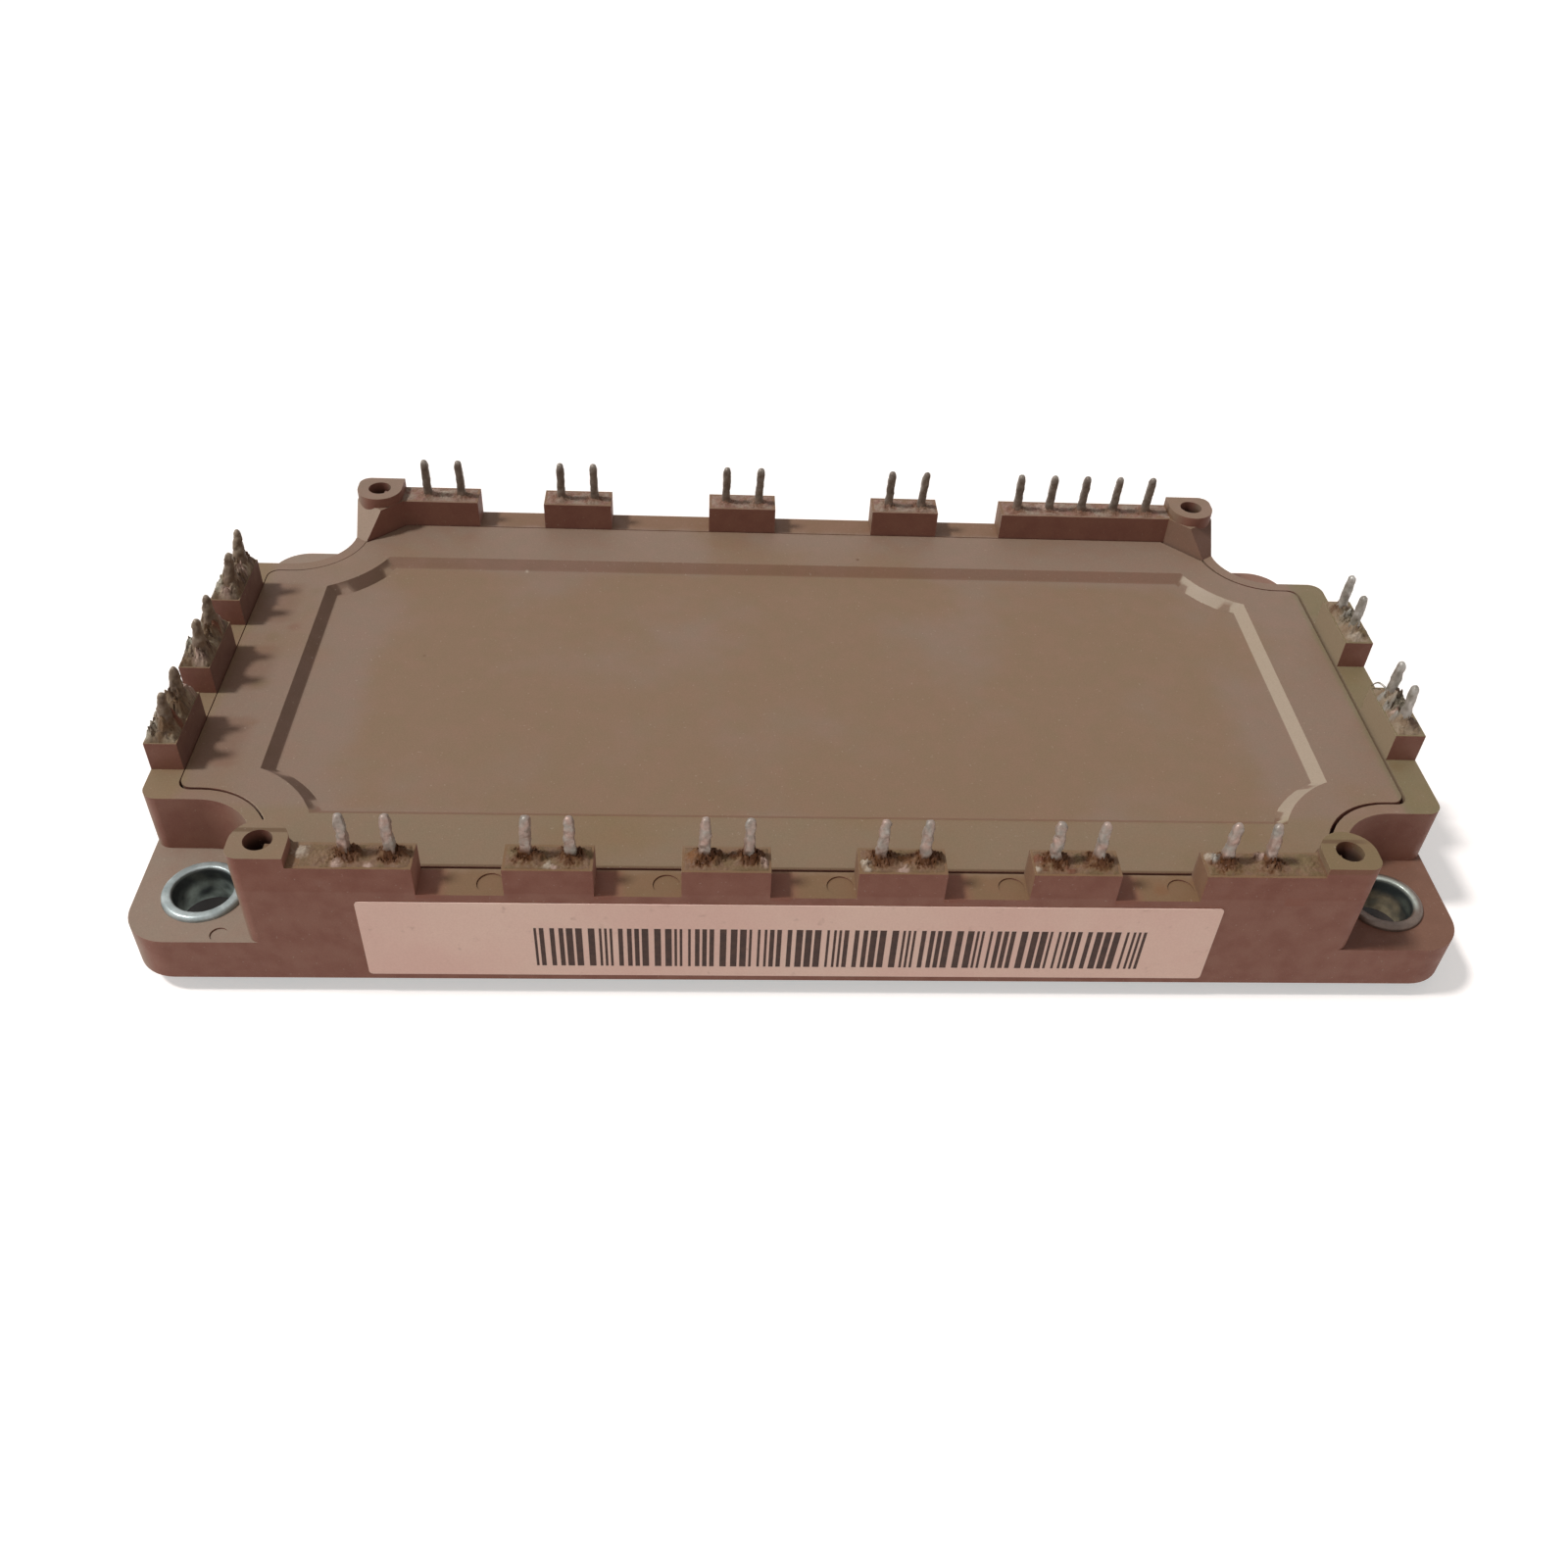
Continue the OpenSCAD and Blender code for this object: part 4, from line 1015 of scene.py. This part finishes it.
def make_crust(title, low, high, look, spots, material, seed):
    """Thin uneven film over a block's top between two corners, heaped up at the prongs."""
    step = 0.09
    nx, ny = (max(2, round((high[i] - low[i]) / step)) for i in (0, 1))
    shape = bmesh.new()
    paints = {}
    grid = []
    for i in range(nx + 1):
        row = []
        for j in range(ny + 1):
            x = low.x + (high.x - low.x) * i / nx
            y = low.y + (high.y - low.y) * j / ny
            inside = min(x - low.x, high.x - x, y - low.y, high.y - y)
            rounding = max(0.0, EDGE_R - inside)
            drop = EDGE_R - math.sqrt(EDGE_R ** 2 - min(EDGE_R, rounding) ** 2)
            place, colour, metal, rough = crust_point(x, y, look, spots, seed)
            free = ease(inside, 0.0, 0.5)
            height = min(place.z, 3.4) * (0.25 + 0.75 * free) - 0.04
            height -= 0.16 * (1 - ease(inside, 0.0, 0.25))
            x, y = blend(x, place.x, free), blend(y, place.y, free)
            vertex = shape.verts.new((x, y, BLOCK_Z - drop + height))
            paints[vertex] = (colour, metal, rough)
            row.append(vertex)
        grid.append(row)
    for i in range(nx):
        for j in range(ny):
            shape.faces.new((grid[i][j], grid[i + 1][j], grid[i + 1][j + 1], grid[i][j + 1]))
    told = iter([paints[v] for v in shape.verts])
    mesh = painted_mesh(title, shape, lambda p: next(told))
    piece(title, mesh, material)


def make_string():
    """Thin loop of solder drawn out between a right-hand prong and its block's far end."""
    foot = PRONGS[RIGHT[0]][1]
    turns, sides, radius = 24, 8, 0.11
    shape = bmesh.new()
    loops = []
    for k in range(turns + 1):
        t = k / turns
        x = foot.x - 1.15 + 1.0 * t
        y = foot.y + 1.75 - 1.5 * t
        z = BLOCK_Z + 0.1 + 1.1 * math.sin(math.pi * (0.1 + 0.8 * t)) + 0.08 * math.sin(9 * t)
        thick = radius * (1.3 - 0.6 * math.sin(math.pi * t))
        loop = []
        for j in range(sides):
            a = 2 * math.pi * j / sides
            aside, rise = thick * math.cos(a), thick * math.sin(a)
            loop.append(shape.verts.new((x + aside, y + 0.7 * aside, z + rise)))
        loops.append(loop)
    skin(shape, loops)
    shape.faces.new(list(reversed(loops[0])))
    shape.faces.new(loops[-1])
    bmesh.ops.recalc_face_normals(shape, faces=shape.faces)
    material = grained("solder_string", SOLDER, SOLDER_DULL, 0.2, 0.4, metal=0.3)
    piece("solder_string", mesh_of("solder_string", shape, 60), material)


def spots_on(name, inward):
    """A block's spots in X and Y, where `inward` is the sign of the way in from its wall."""
    place, spots = middle(name), []
    for along, across, *rest in SPOTS.get(name, ()):
        if name in NEAR + FAR:
            x, y = place.x + along, -inward * (BODY_Y - WALL_Y / 2) + inward * across
        else:
            x, y = -inward * (WING_X - WALL_X / 2) + inward * across, place.y + along
        spots.append((x, y, *rest))
    return spots


# First and last pin of each far block
FAR_RUNS = ((0, 1), (2, 3), (4, 5), (6, 7), (8, 12))


def make_crusts():
    material = painted("residue", size=0.16, depth=0.03, specular=0.2)
    half = BLOCK_W / 2
    for n, name in enumerate(NEAR):
        x = middle(name).x
        low = Vector((x - half if n else -POST_X, -BODY_Y, 0))
        high = Vector((x + half if name != NEAR[-1] else POST_X, -BODY_Y + WALL_Y, 0))
        title = "near_residue_%d" % (n + 1)
        make_crust(title, low, high, NEAR_LOOK, spots_on(name, 1), material, 11 + n * 2.3)
    for names, side, look, word in ((LEFT, -1, LEFT_LOOK, "left"), (RIGHT, 1, RIGHT_LOOK, "right")):
        for n, name in enumerate(names):
            y = middle(name).y
            ends = sorted((side * WING_X, side * (WING_X - WALL_X)))
            low, high = Vector((ends[0], y - half, 0)), Vector((ends[1], y + half, 0))
            title = "%s_residue_%d" % (word, n + 1)
            seed = 31 + side * n * 2.9
            make_crust(title, low, high, look, spots_on(name, -side), material, seed)
    margin = (BLOCK_W - GRID) / 2
    for n, (first, last) in enumerate(FAR_RUNS):
        left = middle(FAR[first]).x - margin if n else -POST_X
        right = middle(FAR[last]).x + margin if last < len(FAR) - 1 else POST_X
        low, high = Vector((left, BODY_Y - WALL_Y, 0)), Vector((right, BODY_Y, 0))
        spots = [s for name in FAR[first:last + 1] for s in spots_on(name, -1)]
        title = "far_residue_%d" % (n + 1)
        make_crust(title, low, high, FAR_LOOK, spots, material, 51 + n * 3.1)


# ---- what the CAD part itself shows ----

# Words in the nodes' names; their material's name, two tones, grain, roughness and metal share
STUFFS = (
    (("solder_layer",), "solder_layer", SOLDER, SOLDER_DULL, 0.6, 0.4, 0.9),
    (("foil",), "foil", srgb(196, 128, 92), srgb(178, 108, 74), 0.4, 0.35, 1.0),
    (("ceramic",), "ceramic", srgb(232, 230, 222), srgb(222, 220, 210), 0.3, 0.55),
    (("chip", "diode"), "silicon", srgb(92, 96, 104), srgb(78, 80, 90), 0.5, 0.25, 0.3),
    (("thermistor",), "thermistor", srgb(48, 56, 50), srgb(38, 44, 40), 0.3, 0.5),
    (("bond",), "bond_wire", srgb(214, 214, 212), srgb(196, 196, 196), 0.3, 0.32, 1.0),
    (("gel",), "gel", srgb(196, 206, 204), srgb(184, 196, 196), 2.0, 0.2),
)


def dress_nodes():
    """Gives the nodes that stay as they are a material each."""
    looks = [(("base_plate",), plated("base_nickel"))]
    looks += [(words, grained(*facts)) for words, *facts in STUFFS]
    for name, node in nodes.items():
        for words, look in looks:
            if any(word in name for word in words):
                paint_slots(node, look)


def paint_slots(node, material):
    if not node.material_slots:
        node.data.materials.append(material)
    for slot in node.material_slots:
        slot.material = material


# ---- camera, lights and floor ----

# The photograph's camera: its place in millimetres, its angles in degrees, and its focal length
# and the picture's width in pixels
CAMERA_PLACE = Vector((-9.351, -115.492, 102.688))
AZIMUTH, ELEVATION, ROLL = 4.17, 42.08, 3.54
FOCAL_PX, PHOTO_PX = 1445, 1600
SENSOR = 36

SKY_LEFT, SKY_RIGHT = 0.53, 0.22  # brightness towards -X and +X
SKY_TINT = (0.98, 0.88, 0.83)
FLOOR_COLOUR = (0.80, 0.72, 0.69)
FLOOR_GLOW, GLOW_COLOUR = 0.44, (0.93, 0.99, 1.0)
FLOOR_HALF = 3
SUN_FROM = Vector((-0.53, -0.02, 0.84))


def make_camera():
    azimuth, elevation, roll = map(math.radians, (AZIMUTH, ELEVATION, ROLL))
    ahead = Vector((
        math.sin(azimuth) * math.cos(elevation),
        math.cos(azimuth) * math.cos(elevation),
        -math.sin(elevation),
    ))
    right = Vector((math.cos(azimuth), -math.sin(azimuth), 0))
    up = right.cross(ahead)
    across = math.cos(roll) * right + math.sin(roll) * up
    upright = -math.sin(roll) * right + math.cos(roll) * up
    data = bpy.data.cameras.new("camera")
    data.sensor_fit = "HORIZONTAL"
    data.sensor_width = SENSOR
    data.lens = SENSOR * FOCAL_PX / PHOTO_PX
    data.clip_start = 0.005
    data.clip_end = 20
    camera = bpy.data.objects.new("camera", data)
    place = Matrix((across, upright, -ahead)).transposed().to_4x4()
    place.translation = CAMERA_PLACE * MM
    camera.matrix_world = place
    bpy.context.scene.collection.objects.link(camera)
    bpy.context.scene.camera = camera


def white_for_camera(tree):
    """1 for rays from the camera, in mirrors and through glass, which see a plain white stage."""
    path = add_node(tree, "LightPath").outputs
    seen = path["Is Camera Ray"]
    for other in ("Is Glossy Ray", "Is Transmission Ray"):
        seen = add_node(tree, "Math", {0: seen, 1: path[other]}, "MAXIMUM").outputs[0]
    return seen


def make_world():
    """White where it is seen; as a light, a pinkish sky that is brighter towards -X."""
    world = bpy.data.worlds.new("world")
    bpy.context.scene.world = world
    world.use_nodes = True
    tree = world.node_tree
    tree.nodes.clear()
    coords = add_node(tree, "TexCoord").outputs["Generated"]
    across = add_node(tree, "SeparateXYZ", {0: coords}).outputs["X"]
    ramp = add_node(tree, "MapRange", {
        "Value": across, "From Min": -1, "From Max": 1, "To Min": SKY_LEFT, "To Max": SKY_RIGHT,
    }).outputs["Result"]
    tint = add_node(tree, "VectorMath", {0: SKY_TINT, "Scale": ramp}, "SCALE").outputs[0]
    sky = add_node(tree, "Background", {"Color": tint}).outputs[0]
    white = add_node(tree, "Background", {"Color": (1, 1, 1)}).outputs[0]
    mix = add_node(tree, "MixShader", {0: white_for_camera(tree), 1: sky, 2: white}).outputs[0]
    add_node(tree, "OutputWorld", {"Surface": mix})


def make_floor():
    """Pale floor that takes shadows, with a glow that makes it white where it is seen."""
    mesh = bpy.data.meshes.new("floor")
    h = FLOOR_HALF
    mesh.from_pydata([(-h, -h, 0), (h, -h, 0), (h, h, 0), (-h, h, 0)], [], [(0, 1, 2, 3)])
    floor = bpy.data.objects.new("floor", mesh)
    bpy.context.scene.collection.objects.link(floor)
    material = bpy.data.materials.new("floor")
    material.use_nodes = True
    tree = material.node_tree
    tree.nodes.clear()
    diffuse = add_node(tree, "BsdfDiffuse", {"Color": FLOOR_COLOUR}).outputs[0]
    seen = white_for_camera(tree)
    strength = add_node(tree, "Math", {0: seen, 1: FLOOR_GLOW}, "MULTIPLY").outputs[0]
    glow = add_node(tree, "Emission", {"Color": GLOW_COLOUR, "Strength": strength}).outputs[0]
    both = add_node(tree, "AddShader", {0: diffuse, 1: glow}).outputs[0]
    add_node(tree, "OutputMaterial", {"Surface": both})
    mesh.materials.append(material)


def make_sun():
    sun = bpy.data.lights.new("sun", "SUN")
    sun.energy = 2.35
    sun.angle = math.radians(8)
    sun.color = (0.99, 1.01, 1.01)
    lamp = bpy.data.objects.new("sun", sun)
    lamp.rotation_euler = SUN_FROM.to_track_quat("Z", "Y").to_euler()
    bpy.context.scene.collection.objects.link(lamp)


bpy.context.scene.view_settings.view_transform = "Standard"
make_camera()
make_world()
make_floor()
make_sun()
add_moulding("case", "case_frame", is_rounded, EDGE_R, 0.8)
add_moulding("lid", "lid", borders_groove, 0.24, 0.85)
make_label()
make_bushings()
make_terminals()
make_crusts()
make_string()
dress_nodes()
